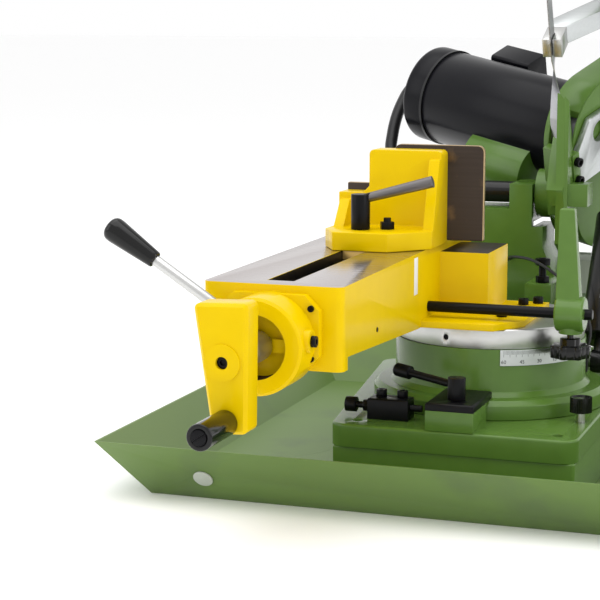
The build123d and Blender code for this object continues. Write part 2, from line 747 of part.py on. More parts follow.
# ================================================================ spindle and crank
housing_face = facing_front(HOUSING_FRONT)
housing_back_wall = BED_FRONT - HOUSING_FLANGE
with BuildPart() as spindle_housing:
    with BuildSketch(facing_front(BED_FRONT)) as housing_flange:
        with Locations((SPINDLE_X, middle((post_top + 3, bed_top - 8)))):
            Rectangle(112, bed_top - post_top - 11)
            chamfer(housing_flange.vertices(), 16)
    extrude(amount=HOUSING_FLANGE)
    with BuildSketch(facing_front(BED_FRONT)) as housing_barrel:
        with Locations((SPINDLE_X, SPINDLE_Z)):
            Circle(HOUSING_R)
    extrude(amount=BED_FRONT - HOUSING_FRONT)
    chamfer(spindle_housing.faces().sort_by(Axis.Y)[0].edges(), 3)
    with BuildSketch(housing_face) as housing_bore:
        with Locations((SPINDLE_X, SPINDLE_Z)):
            Circle(HOUSING_BORE)
    extrude(amount=HOUSING_FRONT - housing_back_wall, mode=Mode.SUBTRACT)
    with BuildSketch(housing_face) as housing_throat:
        with Locations((SPINDLE_X, SPINDLE_Z)):
            Circle(SPINDLE_R + 2)
    extrude(amount=HOUSING_FRONT - BED_FRONT, mode=Mode.SUBTRACT)
    # window that the quick lever swings in
    with BuildSketch(facing_front(LEVER_Y - LEVER_ROD_R - 1)) as lever_window:
        with BuildLine():
            reach = 1.5 * HOUSING_R
            corners = [(reach * cos(radians(a)), reach * sin(radians(a)))
                       for a in (LEVER_SWING[0], LEVER_ANGLE, LEVER_SWING[1] + 7)]
            Polyline((SPINDLE_X, SPINDLE_Z),
                     *[(SPINDLE_X + c[0], SPINDLE_Z + c[1]) for c in corners], close=True)
        make_face()
    extrude(amount=-2 * (LEVER_ROD_R + 1), mode=Mode.SUBTRACT)
    # side bosses for the two set screws
    with BuildSketch(across(SPINDLE_X + HOUSING_R - 8)) as side_boss:
        with Locations((HOUSING_FRONT + 22, SPINDLE_Z + 6)):
            Circle(SIDE_SCREW_R + 6)
    extrude(amount=12)
    with BuildSketch(across(SPINDLE_X + HOUSING_R + 4)) as side_screw_hole:
        with Locations((HOUSING_FRONT + 22, SPINDLE_Z + 6)):
            Circle(SIDE_SCREW_R)
    extrude(amount=-12, mode=Mode.SUBTRACT)
spindle_housing.part.label = "spindle_housing"
export_step(spindle_housing.part, "parts/spindle_housing.step")

side_screw_place = Plane(origin=(SPINDLE_X + HOUSING_R + 4, HOUSING_FRONT + 22, SPINDLE_Z + 6),
                         z_dir=(1, 0, 0))
post_screw = screw_group([set_screw_plane.offset(-5)], SET_SCREW_R, 4, SET_SCREW_R - 0.5, 5)
side_screw = screw_group([side_screw_place], SIDE_SCREW_R, 5, SIDE_SCREW_R - 0.5, 5)
with BuildPart() as set_screws:
    add(post_screw.part)
    add(side_screw.part)
set_screws.part.label = "set_screws"
export_step(set_screws.part, "parts/set_screws.step")

with BuildPart() as cam_sleeve:
    with BuildSketch(facing_front(housing_back_wall - 1)) as cam_ring:
        with Locations((SPINDLE_X, SPINDLE_Z)):
            Circle(HOUSING_BORE - 0.4)
            Circle(SPINDLE_R + 1, mode=Mode.SUBTRACT)
    extrude(amount=20)
    for start in (0, 120, 240):
        with BuildSketch(facing_front(housing_back_wall - 21)) as cam_step:
            with Locations((SPINDLE_X, SPINDLE_Z)):
                with PolarLocations((HOUSING_BORE + SPINDLE_R) / 2, 1, start):
                    Rectangle(16, 14)
        extrude(amount=7)
    lever_way = Vector(cos(radians(LEVER_ANGLE)), 0, sin(radians(LEVER_ANGLE)))
    spindle_centre = Vector(SPINDLE_X, LEVER_Y, SPINDLE_Z)
    lever_seat = Plane(origin=tuple(spindle_centre + lever_way * (SPINDLE_R + 6)), z_dir=tuple(lever_way))
    with BuildSketch(lever_seat) as lever_socket:
        Circle(LEVER_ROD_R)
    extrude(amount=HOUSING_BORE, mode=Mode.SUBTRACT)
cam_sleeve.part.label = "cam_sleeve"
export_step(cam_sleeve.part, "parts/cam_sleeve.step")

with BuildPart() as quick_lever_rod:
    with BuildSketch(lever_seat) as lever_rod:
        Circle(LEVER_ROD_R)
    extrude(amount=LEVER_GRIP_START + 30 - SPINDLE_R - 6)
quick_lever_rod.part.label = "quick_lever_rod"
export_step(quick_lever_rod.part, "parts/quick_lever_rod.step")

grip_start = Plane(origin=tuple(spindle_centre + lever_way * LEVER_GRIP_START), z_dir=tuple(lever_way))
grip_length = LEVER_GRIP_END - LEVER_GRIP_START
with BuildPart() as quick_lever_grip:
    with BuildSketch(grip_start) as grip_neck:
        Circle(9)
    with BuildSketch(grip_start.offset(grip_length - 12)) as grip_belly:
        Circle(13.5)
    loft()
    with BuildSketch(grip_start.offset(grip_length - 12)) as grip_end:
        Circle(13.5)
    extrude(amount=12)
    fillet(quick_lever_grip.faces().sort_by(Axis.X)[0].edges(), 8)
    with BuildSketch(grip_start) as grip_socket:
        Circle(LEVER_ROD_R)
    extrude(amount=30, mode=Mode.SUBTRACT)
quick_lever_grip.part.label = "quick_lever_grip"
export_step(quick_lever_grip.part, "parts/quick_lever_grip.step")

SPINDLE_BACK = -8
COLLAR_R = 16
with BuildPart() as spindle:
    with BuildSketch(facing_front(SPINDLE_BACK)) as spindle_rod:
        with Locations((SPINDLE_X, SPINDLE_Z)):
            Circle(SPINDLE_R)
    extrude(amount=SPINDLE_BACK - CRANK_FRONT - 10)
    with BuildSketch(facing_front(housing_back_wall - 30)) as spindle_collar:
        with Locations((SPINDLE_X, SPINDLE_Z)):
            Circle(COLLAR_R)
    extrude(amount=housing_back_wall - 30 - crank_back)
spindle.part.label = "spindle"
export_step(spindle.part, "parts/spindle.step")

grip_z = SPINDLE_Z - CRANK_THROW
with BuildPart() as crank_arm:
    with BuildSketch(facing_front(crank_back)) as crank_outline:
        with BuildLine():
            Polyline(
                (SPINDLE_X - 31, SPINDLE_Z + 58),
                (SPINDLE_X + 27, SPINDLE_Z + 60),
                (SPINDLE_X + 25, grip_z - 11),
                (SPINDLE_X - 12, grip_z - 13),
                close=True,
            )
        make_face()
        fillet(crank_outline.vertices(), 6)
    extrude(amount=CRANK_THICK)
    chamfer(crank_arm.faces().sort_by(Axis.Y)[0].edges(), 3.5)
    with BuildSketch(facing_front(CRANK_FRONT)) as crank_boss:
        with Locations((SPINDLE_X, SPINDLE_Z)):
            Circle(19)
    extrude(amount=2)
    with BuildSketch(facing_front(crank_back)) as crank_socket:
        with Locations((SPINDLE_X, SPINDLE_Z)):
            Circle(SPINDLE_R)
    extrude(amount=CRANK_THICK - 10, mode=Mode.SUBTRACT)
    with BuildSketch(facing_front(CRANK_FRONT - 2)) as crank_screw_seat:
        with Locations((SPINDLE_X, SPINDLE_Z)):
            Circle(6.5)
    extrude(amount=-12, mode=Mode.SUBTRACT)
    with BuildSketch(facing_front(CRANK_FRONT)) as grip_pin_hole:
        with Locations((SPINDLE_X + 3, grip_z)):
            Circle(GRIP_PIN_R)
    extrude(amount=-20, mode=Mode.SUBTRACT)
crank_arm.part.label = "crank_arm"
export_step(crank_arm.part, "parts/crank_arm.step")

# the screw that holds the arm on the spindle, and the pin that the grip turns on
PIN_HEAD_R = 8
with BuildPart() as crank_pins:
    with BuildSketch(facing_front(CRANK_FRONT + 9)) as crank_screw_head:
        with Locations((SPINDLE_X, SPINDLE_Z)):
            Circle(6.4)
    extrude(amount=7)
    with BuildSketch(facing_front(CRANK_FRONT + 2)) as crank_screw_socket:
        with Locations((SPINDLE_X, SPINDLE_Z)):
            RegularPolygon(3.4, 6)
    extrude(amount=-4, mode=Mode.SUBTRACT)
    with BuildSketch(facing_front(CRANK_FRONT + 20)) as pin_shank:
        with Locations((SPINDLE_X + 3, grip_z)):
            Circle(GRIP_PIN_R)
    extrude(amount=20 + GRIP_LENGTH)
    with BuildSketch(facing_front(CRANK_FRONT - GRIP_LENGTH + 1)) as pin_head:
        with Locations((SPINDLE_X + 3, grip_z)):
            Circle(PIN_HEAD_R)
    extrude(amount=2.5)
    with BuildSketch(facing_front(CRANK_FRONT - GRIP_LENGTH - 1.5)) as pin_slot:
        with Locations((SPINDLE_X + 3, grip_z)):
            Rectangle(2 * PIN_HEAD_R, 1.6, rotation=35)
    extrude(amount=-1.2, mode=Mode.SUBTRACT)
crank_pins.part.label = "crank_pins"
export_step(crank_pins.part, "parts/crank_pins.step")

with BuildPart() as crank_grip:
    with BuildSketch(facing_front(CRANK_FRONT - GAP)) as grip_round:
        with Locations((SPINDLE_X + 3, grip_z)):
            Circle(GRIP_R)
    extrude(amount=GRIP_LENGTH)
    fillet(crank_grip.faces().sort_by(Axis.Y)[0].edges(), 2)
    with BuildSketch(facing_front(CRANK_FRONT - GAP)) as grip_bore:
        with Locations((SPINDLE_X + 3, grip_z)):
            Circle(GRIP_PIN_R + RUN)
    extrude(amount=GRIP_LENGTH, mode=Mode.SUBTRACT)
    with BuildSketch(facing_front(CRANK_FRONT - GRIP_LENGTH + 1.5)) as grip_recess:
        with Locations((SPINDLE_X + 3, grip_z)):
            Circle(8.4)
    extrude(amount=4, mode=Mode.SUBTRACT)
crank_grip.part.label = "crank_grip"
export_step(crank_grip.part, "parts/crank_grip.step")

# ================================================================ bar stop
with BuildPart() as bar_stop_rod:
    with BuildSketch(across(BED_X[1])) as stop_rod:
        with Locations((STOP_ROD_Y, STOP_ROD_Z)):
            Circle(STOP_ROD_R)
    extrude(amount=STOP_ROD_END - BED_X[1])
    chamfer(bar_stop_rod.faces().sort_by(Axis.X)[-1].edges(), 1)
bar_stop_rod.part.label = "bar_stop_rod"
export_step(bar_stop_rod.part, "parts/bar_stop_rod.step")

hub_x = middle(STOP_HUB_X)
with BuildPart() as bar_stop_arm:
    with BuildSketch(across(STOP_HUB_X[0])) as stop_hub:
        with Locations((STOP_ROD_Y, STOP_ROD_Z)):
            Circle(STOP_HUB_R)
    extrude(amount=extent(STOP_HUB_X))
    chamfer(bar_stop_arm.edges().filter_by(GeomType.CIRCLE), 2)
    with BuildSketch(Plane.XY.offset(STOP_ROD_Z)) as stop_arm_root:
        with Locations((hub_x - 2, STOP_ROD_Y)):
            Rectangle(30, 20)
    with BuildSketch(Plane.XY.offset(STOP_ARM_TOP)) as stop_arm_tip:
        with Locations((hub_x - 6, STOP_ROD_Y)):
            Rectangle(17, 12)
    loft()
    fillet(bar_stop_arm.faces().sort_by(Axis.Z)[-1].edges(), 3)
    with BuildSketch(Plane.XY.offset(STOP_ROD_Z)) as stop_foot:
        with Locations((hub_x, STOP_ROD_Y)):
            Circle(14)
    extrude(amount=-STOP_HUB_R - 2)
    with BuildSketch(across(STOP_HUB_X[0])) as stop_bore:
        with Locations((STOP_ROD_Y, STOP_ROD_Z)):
            Circle(STOP_ROD_R + RUN)
    extrude(amount=extent(STOP_HUB_X), mode=Mode.SUBTRACT)
    with BuildSketch(Plane.XY.offset(STOP_ROD_Z - STOP_HUB_R - 2)) as stop_screw_hole:
        with Locations((hub_x, STOP_ROD_Y)):
            Circle(4 + RUN)
    extrude(amount=STOP_HUB_R + 2, mode=Mode.SUBTRACT)
bar_stop_arm.part.label = "bar_stop_arm"
export_step(bar_stop_arm.part, "parts/bar_stop_arm.step")

star_top = STOP_ROD_Z - STOP_HUB_R - 8
with BuildPart() as star_knob:
    with BuildSketch(Plane.XY.offset(STOP_ROD_Z - STOP_ROD_R - 1.5)) as star_screw:
        with Locations((hub_x, STOP_ROD_Y)):
            Circle(4)
    extrude(amount=star_top - 10 - STOP_ROD_Z + STOP_ROD_R + 1.5)
    with BuildSketch(Plane.XY.offset(star_top)) as star_neck:
        with Locations((hub_x, STOP_ROD_Y)):
            Circle(12)
    extrude(amount=-10)
    with BuildSketch(Plane.XY.offset(star_top - 8)) as star_round:
        with Locations((hub_x, STOP_ROD_Y)):
            Circle(STAR_R - 3)
            with PolarLocations(STAR_R - 5, 7):
                Circle(5)
    extrude(amount=-15)
star_knob.part.label = "star_knob"
export_step(star_knob.part, "parts/star_knob.step")

# ================================================================ hinge support on the turntable
arm_top = boss_top - 2
support_beam_top = HINGE_Z - HINGE_R - 5
with BuildPart() as hinge_support:
    with BuildSketch(facing_front(SUPPORT_FRONT)) as support_profile:
        with BuildLine():
            Polyline(
                (HINGE_BLOCK_L[0], arm_top),
                (ARM_X[1] - 22, arm_top),
                (18, 203),
                (2, 240),
                (2, HINGE_Z - LUG_R - 10),
                (HINGE_BLOCK_R[1], HINGE_Z - LUG_R - 10),
                (HINGE_BLOCK_R[1], HINGE_Z + 15),
                (HINGE_BLOCK_R[0], HINGE_Z + 15),
                (HINGE_BLOCK_R[0], support_beam_top),
                (HINGE_BLOCK_L[1], support_beam_top),
                (HINGE_BLOCK_L[1], HINGE_Z + 15),
                (HINGE_BLOCK_L[0], HINGE_Z + 15),
                close=True,
            )
        make_face()
    extrude(amount=SUPPORT_FRONT - SUPPORT_BACK)
    # shelf at the front with the boss of the depth stop
    with BuildSketch(Plane.XY.offset(arm_top)) as stop_shelf:
        with Locations((14, SUPPORT_FRONT - 40)):
            Rectangle(36, 82)
    extrude(amount=34)
    with BuildSketch(across(HINGE_BLOCK_L[0] - 1)) as hinge_bores:
        with Locations((HINGE_Y, HINGE_Z)):
            Circle(HINGE_R + RUN)
    extrude(amount=-HINGE_BLOCK_L[0] + 30, mode=Mode.SUBTRACT)
    # the casting is hollow from below and behind
    with BuildSketch(facing_front(SUPPORT_BACK)) as support_hollow:
        with BuildLine():
            Polyline(
                (HINGE_BLOCK_L[0] + 16, arm_top + 18),
                (-14, arm_top + 18),
                (-14, support_beam_top - 18),
                (HINGE_BLOCK_L[0] + 16, support_beam_top - 18),
                close=True,
            )
        make_face()
    extrude(amount=SUPPORT_BACK - SUPPORT_FRONT - 14, mode=Mode.SUBTRACT)
hinge_support.part.label = "hinge_support"
export_step(hinge_support.part, "parts/hinge_support.step")

with BuildPart() as hinge_shaft:
    with BuildSketch(across(HINGE_BLOCK_L[0] - 8)) as hinge_round:
        with Locations((HINGE_Y, HINGE_Z)):
            Circle(HINGE_R)
    extrude(amount=HINGE_END - HINGE_BLOCK_L[0] + 8)
    chamfer(hinge_shaft.edges().filter_by(GeomType.CIRCLE), 1.5)
hinge_shaft.part.label = "hinge_shaft"
export_step(hinge_shaft.part, "parts/hinge_shaft.step")

BOX_X = (-12, 128)
BOX_Z = (120, 214)
BOX_DEEP = 58
BOX_LID = 3
with BuildPart() as control_box:
    with BuildSketch(facing_front(ARM_BACK + BOX_DEEP)) as control_outline:
        with Locations((middle(BOX_X), middle(BOX_Z))):
            RectangleRounded(extent(BOX_X), extent(BOX_Z), 4)
    extrude(amount=BOX_DEEP)
    with BuildSketch(facing_front(ARM_BACK + BOX_DEEP)) as control_lid:
        with Locations((middle(BOX_X), middle(BOX_Z))):
            RectangleRounded(extent(BOX_X) + 2 * BOX_LID, extent(BOX_Z) + 2 * BOX_LID, 5)
    extrude(amount=-BOX_LID)
control_box.part.label = "control_box"
export_step(control_box.part, "parts/control_box.step")

DEPTH_STOP_XY = (16, SUPPORT_FRONT - 62)
shelf_top = arm_top + 34
with BuildPart() as depth_stop_screw:
    with BuildSketch(Plane.XY.offset(shelf_top)) as depth_stop_shank:
        with Locations(DEPTH_STOP_XY):
            Circle(5)
    extrude(amount=34)
    for lift_up, size in ((0, 9.5), (24, 10.5)):
        with BuildSketch(Plane.XY.offset(shelf_top + lift_up)) as depth_stop_nut:
            with Locations(DEPTH_STOP_XY):
                RegularPolygon(size, 6)
        extrude(amount=9)
depth_stop_screw.part.label = "depth_stop_screw"
export_step(depth_stop_screw.part, "parts/depth_stop_screw.step")

# ================================================================ saw bow casting
def case_outline(inset):
    """C-shaped outline of the bow: a case round each band wheel, joined by the spine."""
    size = 2 * (case_r - inset)
    with BuildSketch(mode=Mode.PRIVATE) as outline:
        for forward in (0, SPAN):
            with Locations((forward, 0)):
                RectangleRounded(size, size, case_r * 0.62 - inset)
        with Locations((SPAN / 2, (case_r + 22) / 2)):
            Rectangle(SPAN, case_r - 22 - 2 * inset)
    return outline.sketch


strand_y = -WHEEL_R
hub_face = WHEEL_WIDTH / 2 - 2
STEP_X = (8, 60)
STEP_OUT = 14
BRANCH_LENGTH = 48
with BuildPart() as bow_frame:
    with BuildSketch(bow_face(-CASE_FRONT)) as bow_block:
        add(case_outline(0))
    extrude(amount=CASE_DEPTH + CASE_BACK)
    with BuildSketch(bow_face(-CASE_FRONT)) as bow_hollow:
        add(case_outline(CASE_WALL))
    extrude(amount=CASE_DEPTH, mode=Mode.SUBTRACT)
    # web down to the hinge, with the round lug about the hinge shaft
    with BuildSketch(raised(across(LUG_X[0]))) as lug_round:
        with Locations((HINGE_Y, HINGE_Z)):
            Circle(LUG_R)
    extrude(amount=extent(LUG_X))
    with BuildSketch(raised(across(WEB_X[0]))) as web_profile:
        with BuildLine():
            Polyline(
                (REAR_WHEEL_Y - 86, wheel_z - case_r + 24),
                (REAR_WHEEL_Y - 60, HINGE_Z - 66),
                (REAR_WHEEL_Y - 30, HINGE_Z - 100),
                (REAR_WHEEL_Y + 8, HINGE_Z - 100),
                (HINGE_Y + 30, HINGE_Z - 34),
                (REAR_WHEEL_Y + 86, wheel_z - case_r + 24),
                close=True,
            )
        make_face()
    extrude(amount=extent(WEB_X))
    # column in front of the case, upright when the bow is raised
    with BuildSketch(raised(across(COLUMN_X[0]))) as column_profile:
        with BuildLine():
            Polyline(
                (REAR_WHEEL_Y - 146, wheel_z - case_r),
                (HINGE_Y + 3, HINGE_Z - 128),
                (HINGE_Y + 24, HINGE_Z - 112),
                (HINGE_Y + 24, wheel_z - case_r + 24),
                (REAR_WHEEL_Y - 146, wheel_z - case_r + 24),
                close=True,
            )
        make_face()
    extrude(amount=extent(COLUMN_X))
    with BuildSketch(bow_face(-CASE_FRONT)) as cover_seat:
        Rectangle(SPAN, 2 * case_r + 8)
    extrude(amount=-3 * CASE_FRONT, mode=Mode.SUBTRACT)
    # the web stops outside the wheel case
    with BuildSketch(bow_face(-CASE_FRONT)) as case_room:
        with BuildSketch(mode=Mode.PRIVATE) as rear_room:
            RectangleRounded(2 * (case_r - CASE_WALL), 2 * (case_r - CASE_WALL), case_r * 0.62 - CASE_WALL)
        add(rear_room.sketch)
    extrude(amount=CASE_DEPTH, mode=Mode.SUBTRACT)
    # slots in the case walls for the cutting strand
    with BuildSketch(bow_face(-CASE_FRONT)) as strand_slot:
        with Locations((SPAN / 2, strand_y)):
            Rectangle(SPAN - 90, 30)
    extrude(amount=CASE_DEPTH, mode=Mode.SUBTRACT)
    # branch to the right that stiffens the foot of the web
    with BuildSketch(raised(across(WEB_X[0] + 6))) as branch:
        with Locations((REAR_WHEEL_Y - 12, HINGE_Z - 78)):
            Rectangle(30, 40, rotation=-25)
    extrude(amount=BRANCH_LENGTH)
    with BuildSketch(raised(across(LUG_X[0]))) as hinge_hole:
        with Locations((HINGE_Y, HINGE_Z)):
            Circle(HINGE_R + RUN)
    extrude(amount=HINGE_END + 1 - LUG_X[0], mode=Mode.SUBTRACT)
    # step under the case that the cylinder bracket bolts to
    with BuildSketch(bow_face(-CASE_FRONT - STEP_OUT)) as bracket_step:
        with Locations((middle(STEP_X), -case_r - 7)):
            Rectangle(extent(STEP_X), 14)
    extrude(amount=STEP_OUT + CASE_FRONT + 12)
    # seats of the two band wheel shafts
    for forward in (0, SPAN):
        with BuildSketch(bow_face(CASE_DEPTH - CASE_FRONT)) as wheel_boss:
            with Locations((forward, 0)):
                Circle(26)
        extrude(amount=hub_face + GAP - CASE_DEPTH + CASE_FRONT)
bow_frame.part.label = "bow_frame"
export_step(bow_frame.part, "parts/bow_frame.step")

with BuildPart() as blade_cover:
    with BuildSketch(bow_face(-CASE_FRONT)) as cover_outline:
        add(case_outline(0))
    extrude(amount=-COVER_THICK)
blade_cover.part.label = "blade_cover"
export_step(blade_cover.part, "parts/blade_cover.step")

cover_knob_places = [(-case_r + 26, case_r - 26), (SPAN / 2, case_r - 30), (SPAN + case_r - 26, case_r - 26)]
with BuildPart() as cover_knobs:
    with BuildSketch(bow_face(-CASE_FRONT - COVER_THICK)) as knob_neck:
        with Locations(cover_knob_places):
            Circle(6)
    extrude(amount=-8)
    with BuildSketch(bow_face(-CASE_FRONT - COVER_THICK - 8)) as knob_head:
        with Locations(cover_knob_places):
            Circle(13)
    extrude(amount=-14)
cover_knobs.part.label = "cover_knobs"
export_step(cover_knobs.part, "parts/cover_knobs.step")

# ================================================================ band wheels and blade
SHAFT_R = 12
wheel_front = -WHEEL_WIDTH / 2


def band_wheel(forward):
    """One band wheel: rim, thin web with five windows, hub bored for its shaft."""
    with BuildPart() as wheel:
        with BuildSketch(bow_face(wheel_front)) as rim:
            with Locations((forward, 0)):
                Circle(WHEEL_R)
                Circle(WHEEL_R - 14, mode=Mode.SUBTRACT)
        extrude(amount=WHEEL_WIDTH)
        with BuildSketch(bow_face(-4)) as web:
            with Locations((forward, 0)):
                Circle(WHEEL_R - 13)
                with PolarLocations(66, 5):
                    Circle(21, mode=Mode.SUBTRACT)
        extrude(amount=8)
        with BuildSketch(bow_face(wheel_front + 2)) as hub:
            with Locations((forward, 0)):
                Circle(30)
        extrude(amount=WHEEL_WIDTH - 4)
        with BuildSketch(bow_face(wheel_front)) as wheel_bore:
            with Locations((forward, 0)):
                Circle(SHAFT_R + RUN)
        extrude(amount=WHEEL_WIDTH, mode=Mode.SUBTRACT)
    return wheel


drive_wheel = band_wheel(0)
drive_wheel.part.label = "drive_wheel"
export_step(drive_wheel.part, "parts/drive_wheel.step")

idler_wheel = band_wheel(SPAN)
idler_wheel.part.label = "idler_wheel"
export_step(idler_wheel.part, "parts/idler_wheel.step")


with BuildPart() as wheel_shafts:
    for forward in (0, SPAN):
        with BuildSketch(bow_face(hub_face + GAP)) as shaft_round:
            with Locations((forward, 0)):
                Circle(SHAFT_R)
        extrude(amount=wheel_front - hub_face - 2 * GAP)
        with BuildSketch(bow_face(wheel_front - GAP)) as washer:
            with Locations((forward, 0)):
                Circle(20)
        extrude(amount=-4)
wheel_shafts.part.label = "wheel_shafts"
export_step(wheel_shafts.part, "parts/wheel_shafts.step")

# The blade is one welded loop. It lies flat on the wheels and is twisted upright between the guides.
BLADE_GAP = 0.4
blade_mid = WHEEL_R + BLADE_GAP + BLADE_THICK / 2
twist_rear = (REAR_WHEEL_Y - 95, GUIDE_REAR + 14)
twist_front = (REAR_WHEEL_Y - SPAN + 95, GUIDE_FRONT - 14)
strand_z = wheel_z - blade_mid * cos(radians(TILT))
strand_x = wheel_x - blade_mid * sin(radians(TILT))


def blade_section(y, lean):
    """Blade cross-section at y; lean is the angle of its width from upright."""
    return raised(Plane(origin=(strand_x, y, strand_z), x_dir=(-sin(radians(lean)), 0, cos(radians(lean))),
                        z_dir=(0, 1, 0)))


with BuildPart() as blade:
    with BuildSketch(bow_face(-BLADE_WIDTH / 2)) as blade_loop:
        for radius, mode in ((WHEEL_R + BLADE_GAP + BLADE_THICK, Mode.ADD), (WHEEL_R + BLADE_GAP, Mode.SUBTRACT)):
            with Locations((SPAN / 2, 0)):
                SlotCenterToCenter(SPAN, 2 * radius, mode=mode)
        with Locations((SPAN / 2, strand_y)):
            Rectangle(SPAN - 190, 12, mode=Mode.SUBTRACT)
    extrude(amount=BLADE_WIDTH)
    flat_lean = 90 - TILT
    TWIST_STEPS = 4
    for start, end in (twist_rear, twist_front):
        for step in range(TWIST_STEPS):
            near = start + (end - start) * step / TWIST_STEPS
            far = start + (end - start) * (step + 1) / TWIST_STEPS
            for y, share in ((near, step), (far, step + 1)):
                with BuildSketch(blade_section(y, flat_lean * (1 - share / TWIST_STEPS))) as twist_end:
                    Rectangle(BLADE_WIDTH, BLADE_THICK)
            loft(ruled=True)
    with BuildSketch(blade_section(twist_front[1], 0)) as cutting_strand:
        Rectangle(BLADE_WIDTH, BLADE_THICK)
    extrude(amount=twist_rear[1] - twist_front[1])
blade.part.label = "blade"
export_step(blade.part, "parts/blade.step")

# ================================================================ blade guides
GUIDE_DEPTH = 26


def guide_block(y, facing):
    """Block that straddles the blade back; facing is +1 or -1 along Y from the stock."""
    with BuildPart() as block:
        with BuildSketch(raised(Plane(origin=(0, y, 0), x_dir=(1, 0, 0), z_dir=(0, -1, 0)))) as block_end:
            with Locations((BLADE_X, blade_z + 12)):
                Rectangle(26, BLADE_WIDTH + 12)
            with Locations((BLADE_X, blade_z - 2)):
                Rectangle(BLADE_THICK + 0.8, BLADE_WIDTH + 5, mode=Mode.SUBTRACT)
        extrude(amount=-facing * GUIDE_DEPTH)
    return block


rear_guide_block = guide_block(GUIDE_REAR - 14, 1)
rear_guide_block.part.label = "rear_guide_block"
export_step(rear_guide_block.part, "parts/rear_guide_block.step")

front_guide_block = guide_block(GUIDE_FRONT + 14, -1)
front_guide_block.part.label = "front_guide_block"
export_step(front_guide_block.part, "parts/front_guide_block.step")

block_top = blade_z + 12 + (BLADE_WIDTH + 12) / 2
spine_low = 22


def under_spine(across_spine):
    """X and Z of a point on the underside of the spine, counted from the blade plane outwards."""
    drop = spine_low - GAP
    return (wheel_x + drop * sin(radians(TILT)) + across_spine * cos(radians(TILT)),
            wheel_z + drop * cos(radians(TILT)) - across_spine * sin(radians(TILT)))


def guide_arm(y, facing):
    """Arm from the underside of the spine down to a guide block."""
    with BuildPart() as arm:
        with BuildSketch(raised(Plane(origin=(0, y, 0), x_dir=(1, 0, 0), z_dir=(0, -1, 0)))) as arm_shape:
            with BuildLine():
                Polyline(
                    (BLADE_X - 11, block_top),
                    (BLADE_X + 11, block_top),
                    under_spine(20),
                    under_spine(-16),
                    (BLADE_X - 11, block_top + 26),
                    close=True,
                )
            make_face()
        extrude(amount=-facing * GUIDE_DEPTH)
    return arm


rear_guide_arm = guide_arm(GUIDE_REAR - 14, 1)
rear_guide_arm.part.label = "rear_guide_arm"
export_step(rear_guide_arm.part, "parts/rear_guide_arm.step")

front_guide_arm = guide_arm(GUIDE_FRONT + 14, -1)
front_guide_arm.part.label = "front_guide_arm"
export_step(front_guide_arm.part, "parts/front_guide_arm.step")

# ================================================================ gearbox and motor
case_outside = CASE_DEPTH + CASE_BACK - CASE_FRONT
LOBE_AT = (-47, -61)
LOBE_R = 45
LOBE_SPAN = (95, 200)
with BuildPart() as gearbox:
    with BuildSketch(bow_face(case_outside)) as gearbox_round:
        Circle(GEARBOX_R)
    extrude(amount=MOTOR_START - case_outside)
    chamfer(gearbox.faces().filter_by(GeomType.PLANE).sort_by(Axis.X)[0].edges(), 4)
gearbox.part.label = "gearbox"
export_step(gearbox.part, "parts/gearbox.step")

BOX_SPAN = (195, 265)
with BuildPart() as motor_body:
    with BuildSketch(bow_face(MOTOR_START)) as motor_round:
        Circle(MOTOR_R)
    extrude(amount=MOTOR_END - MOTOR_START)
    with BuildSketch(bow_face(LOBE_SPAN[0])) as motor_lobe:
        with Locations(LOBE_AT):
            Circle(LOBE_R)
    extrude(amount=extent(LOBE_SPAN))
    with BuildSketch(bow_face(BOX_SPAN[0])) as terminal_box:
        with Locations((10, MOTOR_R + 12)):
            RectangleRounded(84, 44, 5)
    extrude(amount=extent(BOX_SPAN))
motor_body.part.label = "motor_body"
export_step(motor_body.part, "parts/motor_body.step")

with BuildPart() as fan_cover:
    with BuildSketch(bow_face(MOTOR_END)) as fan_round:
        Circle(MOTOR_R + 1.5)
    extrude(amount=FAN_END - MOTOR_END)
    fillet(fan_cover.faces().sort_by(Axis.X)[0].edges(), 9)
fan_cover.part.label = "fan_cover"
export_step(fan_cover.part, "parts/fan_cover.step")


def tube(points, radius):
    """Tube of round section along straight runs joined by arcs; prints each arc's radius."""
    runs = [(Vector(b) - Vector(a)).length for a, b in zip(points, points[1:])]
    radii = []
    for k in range(1, len(points) - 1):
        before = Vector(points[k]) - Vector(points[k - 1])
        after = Vector(points[k + 1]) - Vector(points[k])
        half_turn = radians(before.get_angle(after)) / 2
        radii.append(0.45 * min(runs[k - 1], runs[k]) * cos(half_turn) / sin(half_turn))
    print("arc radii:", [round(r, 1) for r in radii])
    with BuildPart() as piece:
        with BuildLine() as route:
            FilletPolyline(*points, radius=radii)
        with BuildSketch(Plane(origin=points[0], z_dir=tuple(Vector(points[1]) - Vector(points[0])))):
            Circle(radius)
        sweep()
    section = pi * radius ** 2
    print("tube volume against section times length:", round(piece.part.volume / section / route.wire().length, 4))
    return piece


def on_bow(forward, up, out):
    """World place of a point given in the band-wheel plane of the raised bow."""
    return tuple((bow_face(out).location * Location((forward, up, 0))).position)


# conduit from the terminal box, round the fan end and back to the gearbox
CONDUIT_R = 9
motor_conduit = tube([on_bow(*p) for p in (
    (10, 90, BOX_SPAN[1]), (10, 90, 300), (8, 86, 344), (2, 58, 378), (-6, 6, 388), (-22, -56, 366),
    (-54, -108, 338), (-70, -122, 298), (-62, -104, 258), (-50, -78, 230), (-50, -78, LOBE_SPAN[1]))], CONDUIT_R)
motor_conduit.part.label = "motor_conduit"
export_step(motor_conduit.part, "parts/motor_conduit.step")

# thin signal cable clipped between the hinge support and the turntable flange
CABLE_R = 2
signal_cable = tube([
    (-40, SUPPORT_FRONT, 224), (-40, SUPPORT_FRONT - 34, 224), (-26, 216, 236), (10, 184, 238),
    (50, 152, 224), (86, 118, 200), (110, 92, 166), (106, 80, 134), (106, 80, flange_top)], CABLE_R)
signal_cable.part.label = "signal_cable"
export_step(signal_cable.part, "parts/signal_cable.step")

